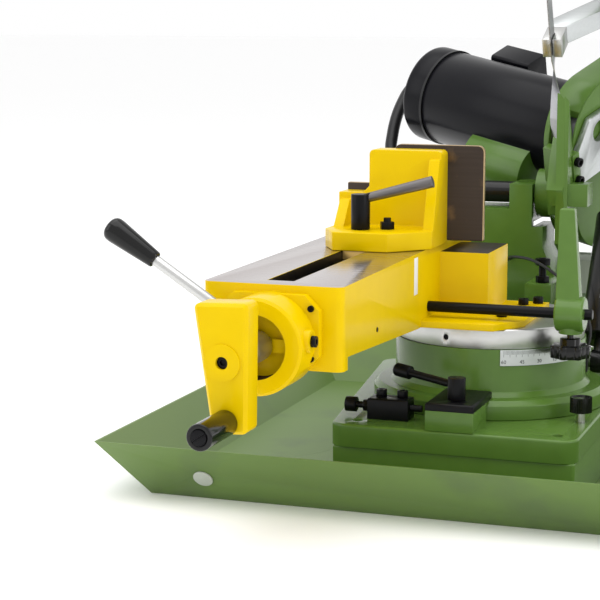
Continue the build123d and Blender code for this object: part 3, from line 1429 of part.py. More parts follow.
# ================================================================ bow handle and blade tension knob
front_end = SPAN + case_r
with BuildPart() as bow_handle:
    handle_root = Plane(bow_face(0).location * Location((front_end, -58, -5), (0, 90, 0)))
    with BuildSketch(handle_root) as handle_foot:
        RectangleRounded(30, 34, 5)
    extrude(amount=24)
    with BuildSketch(handle_root.offset(24)) as handle_neck:
        Circle(9)
    extrude(amount=12)
    with BuildSketch(handle_root.offset(34)) as handle_grip:
        Circle(16)
    extrude(amount=112)
    fillet(bow_handle.faces().sort_by(Axis.Z)[-1].edges(), 7)
bow_handle.part.label = "bow_handle"
export_step(bow_handle.part, "parts/bow_handle.step")

with BuildPart() as tension_knob:
    knob_root = Plane(bow_face(0).location * Location((front_end + GAP, 52, -5), (0, 90, 0)))
    with BuildSketch(knob_root) as knob_collar:
        Circle(14)
    extrude(amount=18)
    with BuildSketch(knob_root.offset(18)) as knob_star:
        Circle(27)
        with PolarLocations(25, 6):
            Circle(7)
    extrude(amount=20)
tension_knob.part.label = "tension_knob"
export_step(tension_knob.part, "parts/tension_knob.step")

# ================================================================ feed cylinder
foot = Vector(CYL_X, *CYL_FOOT)
head_lowered = Vector(CYL_X, HINGE_Y + CYL_HEAD[0], HINGE_Z + CYL_HEAD[1])
head = (lift * Location(tuple(head_lowered))).position
cylinder_way = (head - foot).normalized()
EYE_R = 15
EYE_WIDTH = 22
HEAD_EYE_WIDTH = 12
TUBE_START = 30
BORE_R = 22
PISTON_AT = 150
tube_end = TUBE_START + CYL_TUBE


def along_cylinder(distance):
    """Plane across the cylinder at a distance from its foot pin."""
    return Plane(origin=tuple(foot + cylinder_way * distance), x_dir=(1, 0, 0), z_dir=tuple(cylinder_way))


with BuildPart() as feed_cylinder:
    with BuildSketch(along_cylinder(TUBE_START)) as cylinder_outside:
        Circle(CYL_R)
    extrude(amount=CYL_TUBE)
    chamfer(feed_cylinder.edges(), 1.5)
    with BuildSketch(along_cylinder(0)) as cylinder_foot_neck:
        Circle(11)
    extrude(amount=TUBE_START)
    with BuildSketch(across(CYL_X - EYE_WIDTH / 2)) as foot_eye:
        with Locations(CYL_FOOT):
            Circle(EYE_R)
    extrude(amount=EYE_WIDTH)
    with BuildSketch(across(CYL_X - EYE_WIDTH / 2)) as foot_eye_bore:
        with Locations(CYL_FOOT):
            Circle(CYL_PIN_R + RUN)
    extrude(amount=EYE_WIDTH, mode=Mode.SUBTRACT)
    with BuildSketch(along_cylinder(TUBE_START + 8)) as cylinder_bore:
        Circle(BORE_R)
    extrude(amount=CYL_TUBE - 20, mode=Mode.SUBTRACT)
    with BuildSketch(along_cylinder(tube_end - 14)) as gland_bore:
        Circle(CYL_ROD_R + RUN)
    extrude(amount=16, mode=Mode.SUBTRACT)
feed_cylinder.part.label = "feed_cylinder"
export_step(feed_cylinder.part, "parts/feed_cylinder.step")

head_distance = (head - foot).length
with BuildPart() as feed_rod:
    with BuildSketch(along_cylinder(PISTON_AT)) as piston:
        Circle(BORE_R - 2 * RUN)
    extrude(amount=12)
    with BuildSketch(along_cylinder(PISTON_AT)) as feed_rod_round:
        Circle(CYL_ROD_R)
    extrude(amount=head_distance - CYL_PIN_R - 3 - PISTON_AT)
    head_plane = Plane(origin=(head.X - HEAD_EYE_WIDTH / 2, head.Y, head.Z), z_dir=(1, 0, 0))
    with BuildSketch(head_plane) as rod_eye:
        Circle(EYE_R)
    extrude(amount=HEAD_EYE_WIDTH)
feed_rod.part.label = "feed_rod"
export_step(feed_rod.part, "parts/feed_rod.step")

with BuildPart() as cylinder_foot_pin:
    with BuildSketch(across(CYL_X - 36)) as foot_pin_round:
        with Locations(CYL_FOOT):
            Circle(CYL_PIN_R)
    extrude(amount=36 + EYE_WIDTH / 2 + 3)
    with BuildSketch(across(CYL_X + EYE_WIDTH / 2 + 1)) as foot_pin_head:
        with Locations(CYL_FOOT):
            Circle(CYL_PIN_R + 3.5)
    extrude(amount=3)
cylinder_foot_pin.part.label = "cylinder_foot_pin"
export_step(cylinder_foot_pin.part, "parts/cylinder_foot_pin.step")

BRACKET_THICK = 10
head_forward = -CYL_HEAD[0] + REAR_WHEEL_Y - HINGE_Y
with BuildPart() as cylinder_bracket:
    with BuildSketch(bow_face(-CASE_FRONT - STEP_OUT)) as bracket_plate:
        with BuildLine():
            Polyline(
                (STEP_X[0], -case_r),
                (STEP_X[1], -case_r),
                (head_forward + 34, -case_r + 30),
                (head_forward + 34, -60),
                (head_forward + 18, -16),
                (head_forward - 18, -16),
                (STEP_X[0], -80),
                close=True,
            )
        make_face()
        fillet(bracket_plate.vertices().group_by(Axis.X)[-1], 8)
    extrude(amount=BRACKET_THICK)
    with BuildSketch(bow_face(-CASE_FRONT - STEP_OUT)) as bracket_hole:
        with Locations((head_forward + 8, -78)):
            Circle(15)
    extrude(amount=BRACKET_THICK, mode=Mode.SUBTRACT)
    pin_plane = Plane(origin=(head.X - HEAD_EYE_WIDTH / 2 - 1, head.Y, head.Z), z_dir=(-1, 0, 0))
    with BuildSketch(pin_plane) as head_pin:
        Circle(CYL_PIN_R)
    extrude(amount=12)
cylinder_bracket.part.label = "cylinder_bracket"
export_step(cylinder_bracket.part, "parts/cylinder_bracket.step")

low = head_lowered - foot
high = head - foot
print("cylinder length lowered, raised:", round(low.length, 3), round(high.length, 3))
print("cylinder lean lowered, raised:", round(degrees(atan2(low.Y, low.Z)), 3), round(degrees(atan2(high.Y, high.Z)), 3))
print("cylinder foot, head, way:", foot, head, cylinder_way)
print("wheel centre lowered:", wheel_x, REAR_WHEEL_Y, wheel_z, "bow face normal:", bow_face(0).z_dir)
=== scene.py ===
# %% [markdown]
# # A swivel-base metal-cutting band saw
# The saw stands on a drip tray. A yellow crank vise sits on a fixed post, a green turntable
# swings round that post, and the saw bow with its motor hangs on the turntable by a hinge.
# The solid parts come in as a fixed frame. This lesson gives them rounded edges, finishes and
# the small things that a solid model leaves out. Lengths are in metres.

import json
from math import atan2, cos, pi, radians, sin

import bpy
from mathutils import Matrix, Vector


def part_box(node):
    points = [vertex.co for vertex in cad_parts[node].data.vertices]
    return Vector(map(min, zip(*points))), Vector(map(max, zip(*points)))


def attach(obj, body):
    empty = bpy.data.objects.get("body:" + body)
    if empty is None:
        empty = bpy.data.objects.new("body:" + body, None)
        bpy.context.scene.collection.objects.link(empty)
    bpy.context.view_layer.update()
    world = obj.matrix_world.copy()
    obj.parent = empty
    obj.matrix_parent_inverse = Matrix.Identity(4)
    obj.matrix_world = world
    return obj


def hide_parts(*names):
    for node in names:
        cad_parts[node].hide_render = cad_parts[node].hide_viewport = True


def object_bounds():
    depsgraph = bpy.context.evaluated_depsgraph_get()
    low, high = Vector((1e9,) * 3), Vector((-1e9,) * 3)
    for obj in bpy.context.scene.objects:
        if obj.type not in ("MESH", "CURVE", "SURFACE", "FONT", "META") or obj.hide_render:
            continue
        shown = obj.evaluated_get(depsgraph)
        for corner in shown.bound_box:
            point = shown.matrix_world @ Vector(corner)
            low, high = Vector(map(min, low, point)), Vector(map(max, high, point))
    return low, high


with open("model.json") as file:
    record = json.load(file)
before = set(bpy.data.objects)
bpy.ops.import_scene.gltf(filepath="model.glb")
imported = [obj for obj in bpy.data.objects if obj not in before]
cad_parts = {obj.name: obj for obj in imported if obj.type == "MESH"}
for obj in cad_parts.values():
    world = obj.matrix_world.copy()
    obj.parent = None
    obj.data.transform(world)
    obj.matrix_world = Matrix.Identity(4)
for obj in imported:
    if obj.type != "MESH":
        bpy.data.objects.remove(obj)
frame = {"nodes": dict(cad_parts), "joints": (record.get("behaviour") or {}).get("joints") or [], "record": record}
nodes = frame["nodes"]
joints = {joint["name"]: joint for joint in frame["joints"]}
cad_box = [list(corner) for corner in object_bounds()]
MM = 0.001
print("parts:", len(nodes), "joints:", len(joints), "box:", cad_box)

# %% [markdown]
# ## The camera
# The view is a long lens from the front right, a little above the vise. A camera looks along
# its own -Z, so the direction of sight is turned into a rotation with Z as the sky.

# %% Camera
CAMERA_AT = Vector((0.5313, -2.2266, 0.5725))
SIGHT_TURN = radians(19.4)
SIGHT_DROP = radians(9.06)
sight = Vector((-sin(SIGHT_TURN) * cos(SIGHT_DROP), cos(SIGHT_TURN) * cos(SIGHT_DROP), -sin(SIGHT_DROP)))
bpy.ops.object.camera_add(location=CAMERA_AT, rotation=sight.to_track_quat("-Z", "Y").to_euler())
camera = bpy.context.object
camera.data.lens = 111
camera.data.sensor_width = 36
bpy.context.scene.camera = camera
bpy.context.scene.view_settings.view_transform = "Standard"
print("camera looks along", tuple(round(v, 3) for v in sight))

# %% [markdown]
# ## Light and floor
# Enamel shows its shape by what it mirrors, so the light is a few large soft panels: a wide one
# overhead that brightens the tops, a weaker one at the left and a strip at the right that draws
# a line of light down the round edges. The floor is a big pale sheet.

# %% Light and floor
PANELS = (
    # place, aim, width, height, watts
    ((-0.3, -0.5, 3.0), (0, 0, 0.2), 3.0, 3.0, 50),
    ((-2.6, -1.8, 1.6), (0, 0, 0.3), 1.6, 2.2, 16),
    ((2.4, -0.9, 1.5), (0, 0, 0.3), 0.7, 2.2, 16),
)
for place, aim, width, height, watts in PANELS:
    way = Vector(aim) - Vector(place)
    bpy.ops.object.light_add(type="AREA", location=place, rotation=way.to_track_quat("-Z", "Y").to_euler())
    panel = bpy.context.object.data
    panel.shape = "RECTANGLE"
    panel.size = width
    panel.size_y = height
    panel.energy = watts
world = bpy.data.worlds.new("studio")
bpy.context.scene.world = world
world.use_nodes = True
SKY = world.node_tree.nodes["Background"]
SKY.inputs["Color"].default_value = (1.0, 1.0, 1.0, 1.0)
SKY.inputs["Strength"].default_value = 1.0
bpy.ops.object.select_all(action="DESELECT")
bpy.ops.mesh.primitive_plane_add(size=60, location=(0, 0, cad_box[0][2]))
floor = bpy.context.object
floor.name = "floor"
print("panels:", len(PANELS))

# %% [markdown]
# ## Effects that several finishes share
# Three node groups: the slow lumps and fine grain of enamel on a casting, the fine lines that a
# wheel leaves on ground steel, and a soft film of dirt. Each takes a place on the piece and
# gives back values only, so every finish can use them in its own measure.

# %% Node group helpers
def start_group(name, inputs, outputs):
    """An empty shader node group with float inputs and outputs, and a vector input named Place."""
    group = bpy.data.node_groups.new(name, "ShaderNodeTree")
    group.interface.new_socket("Place", in_out="INPUT", socket_type="NodeSocketVector")
    for label, value in inputs:
        socket = group.interface.new_socket(label, in_out="INPUT", socket_type="NodeSocketFloat")
        socket.default_value = value
    for label in outputs:
        group.interface.new_socket(label, in_out="OUTPUT", socket_type="NodeSocketFloat")
    return group, group.nodes.new("NodeGroupInput"), group.nodes.new("NodeGroupOutput")


def noise_node(tree, place, scale, detail=3.0):
    """A noise texture read at a place; scale may be a number or a socket."""
    noise = tree.nodes.new("ShaderNodeTexNoise")
    noise.inputs["Detail"].default_value = detail
    if isinstance(scale, (int, float)):
        noise.inputs["Scale"].default_value = scale
    else:
        tree.links.new(scale, noise.inputs["Scale"])
    tree.links.new(place, noise.inputs["Vector"])
    return noise


def sum_node(tree, operation, first, second):
    """A math node; each input is a socket or a number."""
    node = tree.nodes.new("ShaderNodeMath")
    node.operation = operation
    for slot_index, value in enumerate((first, second)):
        if isinstance(value, (int, float)):
            node.inputs[slot_index].default_value = value
        else:
            tree.links.new(value, node.inputs[slot_index])
    return node


# %% Cast skin
cast_skin, given, result = start_group(
    "cast_skin", (("Lumps", 40.0), ("Grain", 900.0)), ("Height", "Blotch"))
lumps = noise_node(cast_skin, given.outputs["Place"], given.outputs["Lumps"], 2.0)
grain = noise_node(cast_skin, given.outputs["Place"], given.outputs["Grain"], 4.0)
weak_grain = sum_node(cast_skin, "MULTIPLY", grain.outputs["Fac"], 0.25)
both = sum_node(cast_skin, "ADD", lumps.outputs["Fac"], weak_grain.outputs["Value"])
cast_skin.links.new(both.outputs["Value"], result.inputs["Height"])
cast_skin.links.new(lumps.outputs["Fac"], result.inputs["Blotch"])
print("group:", cast_skin.name)

# %% Ground lines
ground_lines, given, result = start_group(
    "ground_lines", (("Across", 2500.0), ("Along", 40.0)), ("Height", "Streak"))
stretch = ground_lines.nodes.new("ShaderNodeCombineXYZ")
ground_lines.links.new(given.outputs["Along"], stretch.inputs["X"])
ground_lines.links.new(given.outputs["Across"], stretch.inputs["Y"])
ground_lines.links.new(given.outputs["Across"], stretch.inputs["Z"])
scaled = ground_lines.nodes.new("ShaderNodeVectorMath")
scaled.operation = "MULTIPLY"
ground_lines.links.new(given.outputs["Place"], scaled.inputs[0])
ground_lines.links.new(stretch.outputs["Vector"], scaled.inputs[1])
lines = noise_node(ground_lines, scaled.outputs["Vector"], 1.0, 2.0)
streaks = noise_node(ground_lines, scaled.outputs["Vector"], 0.12, 2.0)
ground_lines.links.new(lines.outputs["Fac"], result.inputs["Height"])
ground_lines.links.new(streaks.outputs["Fac"], result.inputs["Streak"])
print("group:", ground_lines.name)

# %% Dirt film
dirt_film, given, result = start_group("dirt_film", (("Patches", 18.0), ("Share", 0.5)), ("Mask",))
patches = noise_node(dirt_film, given.outputs["Place"], given.outputs["Patches"], 6.0)
above = sum_node(dirt_film, "SUBTRACT", patches.outputs["Fac"], given.outputs["Share"])
steep = sum_node(dirt_film, "MULTIPLY", above.outputs["Value"], 6.0)
steep.use_clamp = True
dirt_film.links.new(steep.outputs["Value"], result.inputs["Mask"])
print("group:", dirt_film.name)

# %% [markdown]
# ## Finishes
# A finish is a Principled shader. One maker builds painted castings, with the cast skin as a
# bump and a faint change of shade. One builds machined metal, with the ground lines in both
# bump and roughness. One builds plain plastics and rubbers, with fine grain only.

# %% Finish makers
def start_finish(name, color, roughness, metallic=0.0):
    """A material with one Principled shader, and a reader of places on the piece."""
    finish = bpy.data.materials.new(name)
    finish.use_nodes = True
    tree = finish.node_tree
    shader = tree.nodes["Principled BSDF"]
    shader.inputs["Base Color"].default_value = (*color, 1.0)
    shader.inputs["Roughness"].default_value = roughness
    shader.inputs["Metallic"].default_value = metallic
    reader = tree.nodes.new("ShaderNodeTexCoord")
    return finish, tree, shader, reader


def place_group(tree, group, reader, values):
    """The shared group inside a material, reading Object places."""
    node = tree.nodes.new("ShaderNodeGroup")
    node.node_tree = group
    tree.links.new(reader.outputs["Object"], node.inputs["Place"])
    for label, value in values.items():
        node.inputs[label].default_value = value
    return node


def add_bump(tree, shader, height, strength, depth):
    """Feeds a height to the shader's normal."""
    bump = tree.nodes.new("ShaderNodeBump")
    bump.inputs["Strength"].default_value = strength
    bump.inputs["Distance"].default_value = depth
    tree.links.new(height, bump.inputs["Height"])
    tree.links.new(bump.outputs["Normal"], shader.inputs["Normal"])


def blend_color(tree, shader, mask, first, second):
    """Two colours mixed by a mask into the base colour."""
    mix = tree.nodes.new("ShaderNodeMix")
    mix.data_type = "RGBA"
    mix.inputs["A"].default_value = (*first, 1.0)
    mix.inputs["B"].default_value = (*second, 1.0)
    tree.links.new(mask, mix.inputs["Factor"])
    tree.links.new(mix.outputs["Result"], shader.inputs["Base Color"])


def spread_roughness(tree, shader, value, low, high):
    """Roughness that runs from low to high with a value from 0 to 1."""
    spread = tree.nodes.new("ShaderNodeMapRange")
    spread.inputs["To Min"].default_value = low
    spread.inputs["To Max"].default_value = high
    tree.links.new(value, spread.inputs["Value"])
    tree.links.new(spread.outputs["Result"], shader.inputs["Roughness"])


def enamel(name, color, shade, roughness, lumps=38.0, depth=0.0006, coat=0.35, shine=0.4):
    """Paint on a casting: glossy, slightly uneven, a touch darker in slow patches."""
    finish, tree, shader, reader = start_finish(name, color, roughness)
    shader.inputs["Specular IOR Level"].default_value = shine
    shader.inputs["Coat Weight"].default_value = coat
    shader.inputs["Coat Roughness"].default_value = 0.12
    skin = place_group(tree, cast_skin, reader, {"Lumps": lumps, "Grain": 700.0})
    add_bump(tree, shader, skin.outputs["Height"], 0.35, depth)
    blend_color(tree, shader, skin.outputs["Blotch"], color, shade)
    return finish


def stain(finish, color, patches, share):
    """Lays a soft film of another colour over the base colour of a finish."""
    tree = finish.node_tree
    shader = tree.nodes["Principled BSDF"]
    painted = shader.inputs["Base Color"].links[0].from_socket
    reader = tree.nodes.new("ShaderNodeTexCoord")
    film = place_group(tree, dirt_film, reader, {"Patches": patches, "Share": share})
    mix = tree.nodes.new("ShaderNodeMix")
    mix.data_type = "RGBA"
    mix.inputs["B"].default_value = (*color, 1.0)
    tree.links.new(painted, mix.inputs["A"])
    tree.links.new(film.outputs["Mask"], mix.inputs["Factor"])
    tree.links.new(mix.outputs["Result"], shader.inputs["Base Color"])


def machined(name, color, dark, roughness, along=40.0, depth=0.00002):
    """Bare metal with fine lines from the wheel or lathe."""
    finish, tree, shader, reader = start_finish(name, color, roughness, 1.0)
    marks = place_group(tree, ground_lines, reader, {"Across": 2200.0, "Along": along})
    add_bump(tree, shader, marks.outputs["Height"], 0.15, depth)
    blend_color(tree, shader, marks.outputs["Streak"], dark, color)
    spread_roughness(tree, shader, marks.outputs["Streak"], roughness * 0.75, roughness * 1.35)
    return finish


def moulded(name, color, roughness, grain=1400.0, depth=0.00003, shine=0.3):
    """Plastic or rubber with a fine grain."""
    finish, tree, shader, reader = start_finish(name, color, roughness)
    shader.inputs["Specular IOR Level"].default_value = shine
    skin = place_group(tree, cast_skin, reader, {"Lumps": 120.0, "Grain": grain})
    add_bump(tree, shader, skin.outputs["Height"], 0.3, depth)
    spread_roughness(tree, shader, skin.outputs["Blotch"], roughness * 0.85, roughness * 1.2)
    return finish


# %% The finishes
FLOOR_PALE = (0.98, 0.98, 0.98)
floor_finish = start_finish("floor_pale", FLOOR_PALE, 0.9)[0]
floor.data.materials.append(floor_finish)
green = enamel("green_enamel", (0.092, 0.182, 0.030), (0.072, 0.150, 0.022), 0.26, coat=0.1, shine=0.3)
tray_green = enamel("tray_enamel", (0.132, 0.215, 0.055), (0.118, 0.195, 0.048), 0.40,
                    6.0, 0.0004, 0.0, 0.3)
yellow = enamel("yellow_enamel", (0.74, 0.51, 0.0), (0.67, 0.45, 0.0), 0.24, coat=0.0, shine=0.10)
motor_grey = enamel("motor_enamel", (0.006, 0.006, 0.008), (0.004, 0.004, 0.006), 0.28,
                    60.0, 0.0001, 0.0, 0.14)
gloss_black = enamel("black_enamel", (0.006, 0.006, 0.006), (0.008, 0.008, 0.008), 0.22,
                     60.0, 0.0001, 0.0, 0.3)
# Bright steel, which also makes the painted highlight ring at the fan disc's rim.
bright = machined("bright_steel", (0.58, 0.58, 0.57), (0.53, 0.53, 0.52), 0.32)
ground = machined("ground_bed", (0.54, 0.50, 0.50), (0.47, 0.42, 0.40), 0.24, 1.0, 0.00001)
dark_steel = machined("dark_jaw_steel", (0.070, 0.054, 0.044), (0.042, 0.032, 0.026), 0.42, 25.0)
# Light gold for the jaw plates' edges: a painted highlight with a painted yellow reflection.
gold_edge_highlight = machined("painted_edge_highlight", (0.62, 0.44, 0.22), (0.46, 0.31, 0.14), 0.30)
blade_steel = machined("blade_steel", (0.46, 0.46, 0.48), (0.36, 0.36, 0.38), 0.30, 8.0)
aluminium = machined("aluminium", (0.58, 0.60, 0.60), (0.48, 0.50, 0.50), 0.36, 60.0)
lever_grey = machined("lever_grey", (0.20, 0.19, 0.19), (0.15, 0.14, 0.14), 0.38, 60.0)
iron = machined("wheel_iron", (0.30, 0.30, 0.31), (0.22, 0.22, 0.23), 0.45, 80.0)
brass = machined("brass", (0.70, 0.47, 0.16), (0.58, 0.38, 0.12), 0.30)
# This near-black finish is black oxide on screws and fittings, and painted shade in the bed's slot, the fan slots
# and the oil hole.
black_oxide_and_painted_shade = moulded("black_oxide_and_painted_shade", (0.004, 0.004, 0.005), 0.32, shine=0.14)
black_plastic = moulded("black_plastic", (0.004, 0.004, 0.004), 0.12, depth=0.00001)
rubber = moulded("rubber", (0.008, 0.008, 0.009), 0.34)
grey_plastic = moulded("grey_plastic", (0.42, 0.45, 0.40), 0.5)
# Dark brown painted shade for the faces inside the bores.
painted_bore_shade = moulded("painted_bore_shade", (0.030, 0.016, 0.010), 0.5, shine=0.1)
cap_brown = moulded("cap_brown", (0.16, 0.045, 0.025), 0.4)
label_white = moulded("label_white", (0.80, 0.80, 0.80), 0.55)
ink = moulded("ink", (0.015, 0.015, 0.015), 0.6)
stain(tray_green, (0.105, 0.165, 0.055), 9.0, 0.56)
stain(dark_steel, (0.16, 0.10, 0.05), 30.0, 0.60)
print("finishes:", len(bpy.data.materials))

# %% [markdown]
# ## Soft edges on castings
# A real casting has no knife edge, and the thin line of light on a rounded edge is what makes
# it look heavy. A part's own mesh stays as it is. A copy has its loose triangles merged, its
# flat faces joined, and its sharp edges bevelled, and that copy is shown in the part's place.

# %% Rounding helpers
bodies = frame["record"]["behaviour"]["bodies"]
BODY_OF = {node: body for body, members in bodies.items() for node in members}


def take(piece):
    """Makes a piece the only one selected, and the active one."""
    bpy.ops.object.select_all(action="DESELECT")
    piece.select_set(True)
    bpy.context.view_layer.objects.active = piece
    return piece


def soften(piece, width, segments=2, limit=32):
    """Bevels the sharp edges of a piece and smooths the rest."""
    take(piece)
    bevel = piece.modifiers.new("soft_edge", "BEVEL")
    bevel.width = width
    bevel.segments = segments
    bevel.limit_method = "ANGLE"
    bevel.angle_limit = radians(limit)
    bevel.use_clamp_overlap = True
    bpy.ops.object.modifier_apply(modifier=bevel.name)
    bpy.ops.object.shade_smooth_by_angle(angle=radians(32))


def skin_of(node, width, finish, segments=2):
    """A rounded copy of a part, shown in its place and moving with it."""
    piece = bpy.data.objects.new(f"{node}_skin", nodes[node].data.copy())
    bpy.context.collection.objects.link(piece)
    take(piece)
    piece.data.materials.clear()
    piece.data.materials.append(finish)
    bpy.ops.mesh.customdata_custom_splitnormals_clear()
    bpy.ops.object.mode_set(mode="EDIT")
    bpy.ops.mesh.select_all(action="SELECT")
    bpy.ops.mesh.remove_doubles(threshold=0.000002)
    bpy.ops.mesh.dissolve_limited(angle_limit=radians(0.3))
    bpy.ops.object.mode_set(mode="OBJECT")
    soften(piece, width, segments)
    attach(piece, BODY_OF[node])
    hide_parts(node)
    return piece


# %% Green castings
for node, width in (("base_plate", 2.5), ("pedestal", 2), ("turntable", 3), ("hinge_support", 4),
                    ("bow_frame", 3), ("gearbox", 3), ("bar_stop_arm", 2.5), ("blade_cover", 1)):
    piece = skin_of(node, width * MM, green, 3)
    print(piece.name, len(piece.data.polygons), "faces")
skin_of("drip_tray", 0.8 * MM, tray_green)

# %% Yellow castings
for node, width in (("fixed_jaw", 3), ("spindle_housing", 2), ("crank_arm", 2.5), ("moving_jaw", 4),
                    ("cam_sleeve", 1)):
    piece = skin_of(node, width * MM, yellow, 3)
    print(piece.name, len(piece.data.polygons), "faces")
bed = skin_of("vise_bed", 3 * MM, yellow, 3)

# %% [markdown]
# ## Ground faces of the vise
# The bed is painted all over and then ground on top, so its upper faces are bare metal. The
# faces are picked by their height and by where they look, and given a second finish.

# %% Ground faces
def refinish(piece, finish, chosen):
    """Gives a second finish to the faces for which chosen(centre, normal) is true."""
    piece.data.materials.append(finish)
    index = len(piece.data.materials) - 1
    count = 0
    for face in piece.data.polygons:
        if chosen(face.center, face.normal):
            face.material_index = index
            count += 1
    print(piece.name, finish.name, count, "faces")


bed_low, bed_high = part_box("vise_bed")
WING_EDGE_X = -0.056
refinish(bed, ground, lambda c, n: n.z > 0.98 and c.z > bed_high.z - 0.0004)
refinish(bed, dark_steel, lambda c, n: n.z > 0.98 and c.x > WING_EDGE_X
         and bed_high.z - 0.011 < c.z < bed_high.z - 0.009)
BED_SIDE = 0.02


def in_slot(centre, normal):
    """True for a face of the bed's inside, seen through the slot."""
    across = bed_low.x + BED_SIDE < centre.x < WING_EDGE_X - BED_SIDE
    along = bed_low.y + BED_SIDE < centre.y < bed_high.y - BED_SIDE
    return across and along and bed_low.z + 0.014 < centre.z < bed_high.z - 0.001


# The bed's inside faces, seen through the slot, are painted near-black as painted shade.
refinish(bed, black_oxide_and_painted_shade, in_slot)
jaw_face = skin_of("moving_jaw_plate", 1.2 * MM, dark_steel, 2)
# The plate's edge faces are painted light gold as a painted highlight with a painted yellow reflection.
refinish(jaw_face, gold_edge_highlight, lambda c, n: abs(n.y) < 0.9)
fixed_face = skin_of("fixed_jaw_plate", 1.2 * MM, dark_steel, 2)
refinish(fixed_face, gold_edge_highlight, lambda c, n: abs(n.y) < 0.9)

# %% Bores, sleeve and jaw lever
spindle_at = Vector(joints["crank_spin"]["pos_m"])
BORE_REACH = 0.036


def in_bore(centre, normal):
    """True for a face round the spindle that looks at its axis."""
    away = Vector((centre.x - spindle_at.x, 0, centre.z - spindle_at.z))
    return away.length < BORE_REACH and Vector((normal.x, 0, normal.z)).dot(away) < -0.2 * away.length


# The bore faces round the spindle are painted dark brown as painted shade.
for name in ("spindle_housing_skin", "cam_sleeve_skin"):
    refinish(bpy.data.objects[name], painted_bore_shade, in_bore)

# %% Turned, black and moulded parts
for node, width, finish in (
    ("centre_post", 1.5, bright), ("clamp_plate", 1, black_oxide_and_painted_shade), ("clamp_lever", 1.2, black_oxide_and_painted_shade),
    ("mitre_stop_block", 1.5, black_oxide_and_painted_shade), ("mitre_stop_screw", 0.6, black_oxide_and_painted_shade),
    ("cap_screws", 0.6, black_oxide_and_painted_shade), ("base_bolts", 0.6, black_oxide_and_painted_shade), ("set_screws", 0.4, black_oxide_and_painted_shade),
    ("jaw_bolt", 0.8, black_oxide_and_painted_shade), ("crank_pins", 0.4, black_oxide_and_painted_shade),
    ("depth_stop_screw", 0.8, black_oxide_and_painted_shade),
    ("hinge_shaft", 1, gloss_black), ("bar_stop_rod", 0.8, black_oxide_and_painted_shade), ("star_knob", 1.6, black_plastic),
    ("tension_knob", 2, black_plastic), ("cover_knobs", 2, black_plastic), ("bow_handle", 2, black_plastic),
    ("crank_grip", 1.2, black_plastic), ("quick_lever_grip", 1.5, black_plastic),
    ("control_box", 2, grey_plastic),
    ("quick_lever_rod", 0.5, bright), ("spindle", 0.8, bright), ("jaw_nut", 1, brass),
    ("feed_rod", 0.6, bright), ("feed_cylinder", 1.5, gloss_black), ("cylinder_foot_pin", 0.6, bright),
    ("cylinder_bracket", 2, aluminium), ("rear_guide_arm", 1.5, aluminium),
    ("front_guide_arm", 1.5, aluminium),
    ("rear_guide_block", 1, bright), ("front_guide_block", 1, bright), ("motor_body", 3, motor_grey),
    ("fan_cover", 2, motor_grey), ("drive_wheel", 1.5, iron), ("idler_wheel", 1.5, iron),
    ("wheel_shafts", 1, bright), ("tray_plug", 0.8, grey_plastic), ("jaw_clamp_lever", 1, lever_grey),
):
    piece = skin_of(node, width * MM, finish)
lever_at = Vector(joints["jaw_lever_swing"]["pos_m"])
refinish(bpy.data.objects["jaw_clamp_lever_skin"], black_oxide_and_painted_shade,
         lambda c, n: Vector((c.x - lever_at.x, c.y - lever_at.y)).length < 0.0125)

# %% Parts that keep their own mesh
for node, finish in (("blade", blade_steel), ("motor_conduit", rubber), ("signal_cable", rubber),
                     ("scale_plate", aluminium), ("index_knob", black_plastic)):
    for holder in nodes[node].material_slots:
        holder.material = finish
    print(node, finish.name)

# %% [markdown]
# ## Making small pieces
# Each small piece starts as a primitive at the origin, is shaped in edit mode, and is then set
# down in its place with the place written into its mesh. A helper picks faces by place and
# normal, because an operator works on what is selected.

# %% Small piece helpers
def clear_picks(piece):
    """Takes a piece with nothing in its mesh selected, and gives back the mesh."""
    take(piece)
    mesh = piece.data
    for part in (mesh.vertices, mesh.edges, mesh.polygons):
        part.foreach_set("select", [False] * len(part))
    return mesh


def pick_faces(piece, chosen):
    """Enters edit mode with only the faces for which chosen(centre, normal) is true."""
    mesh = clear_picks(piece)
    for face in mesh.polygons:
        face.select = chosen(face.center, face.normal)
    bpy.ops.object.mode_set(mode="EDIT")
    bpy.ops.mesh.select_mode(type="FACE")


def settle(piece, place, finish, body):
    """Sets a piece down at a place, writes the place into its mesh and hangs it on a body."""
    take(piece)
    piece.matrix_world = place
    bpy.ops.object.transform_apply(location=True, rotation=True, scale=True)
    piece.data.materials.clear()
    piece.data.materials.append(finish)
    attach(piece, body)
    return piece


def copies(model, name, places):
    """Copies of a model, each with its own mesh, set down at places and joined into one piece."""
    made = []
    for place in places:
        copy = model.copy()
        copy.data = model.data.copy()
        bpy.context.collection.objects.link(copy)
        copy.matrix_world = place
        made.append(copy)
    bpy.ops.object.select_all(action="DESELECT")
    for copy in made:
        copy.select_set(True)
    bpy.context.view_layer.objects.active = made[0]
    bpy.ops.object.transform_apply(location=True, rotation=True, scale=True)
    bpy.ops.object.join()
    whole = bpy.context.object
    whole.name = name
    bpy.data.objects.remove(model)
    return whole


def cylinder(name, radius, length, vertices=40):
    """A cylinder on the origin that stands from z 0 up to its length."""
    bpy.ops.object.select_all(action="DESELECT")
    bpy.ops.mesh.primitive_cylinder_add(radius=radius, depth=length, vertices=vertices,
                                        location=(0, 0, length / 2))
    piece = bpy.context.object
    piece.name = name
    bpy.ops.object.transform_apply(location=True)
    return piece


def block(name, size, centre=(0, 0, 0)):
    """A block of a size about a centre."""
    bpy.ops.object.select_all(action="DESELECT")
    bpy.ops.mesh.primitive_cube_add(size=1, location=centre)
    piece = bpy.context.object
    piece.name = name
    piece.scale = size
    bpy.ops.object.transform_apply(location=True, rotation=True, scale=True)
    return piece


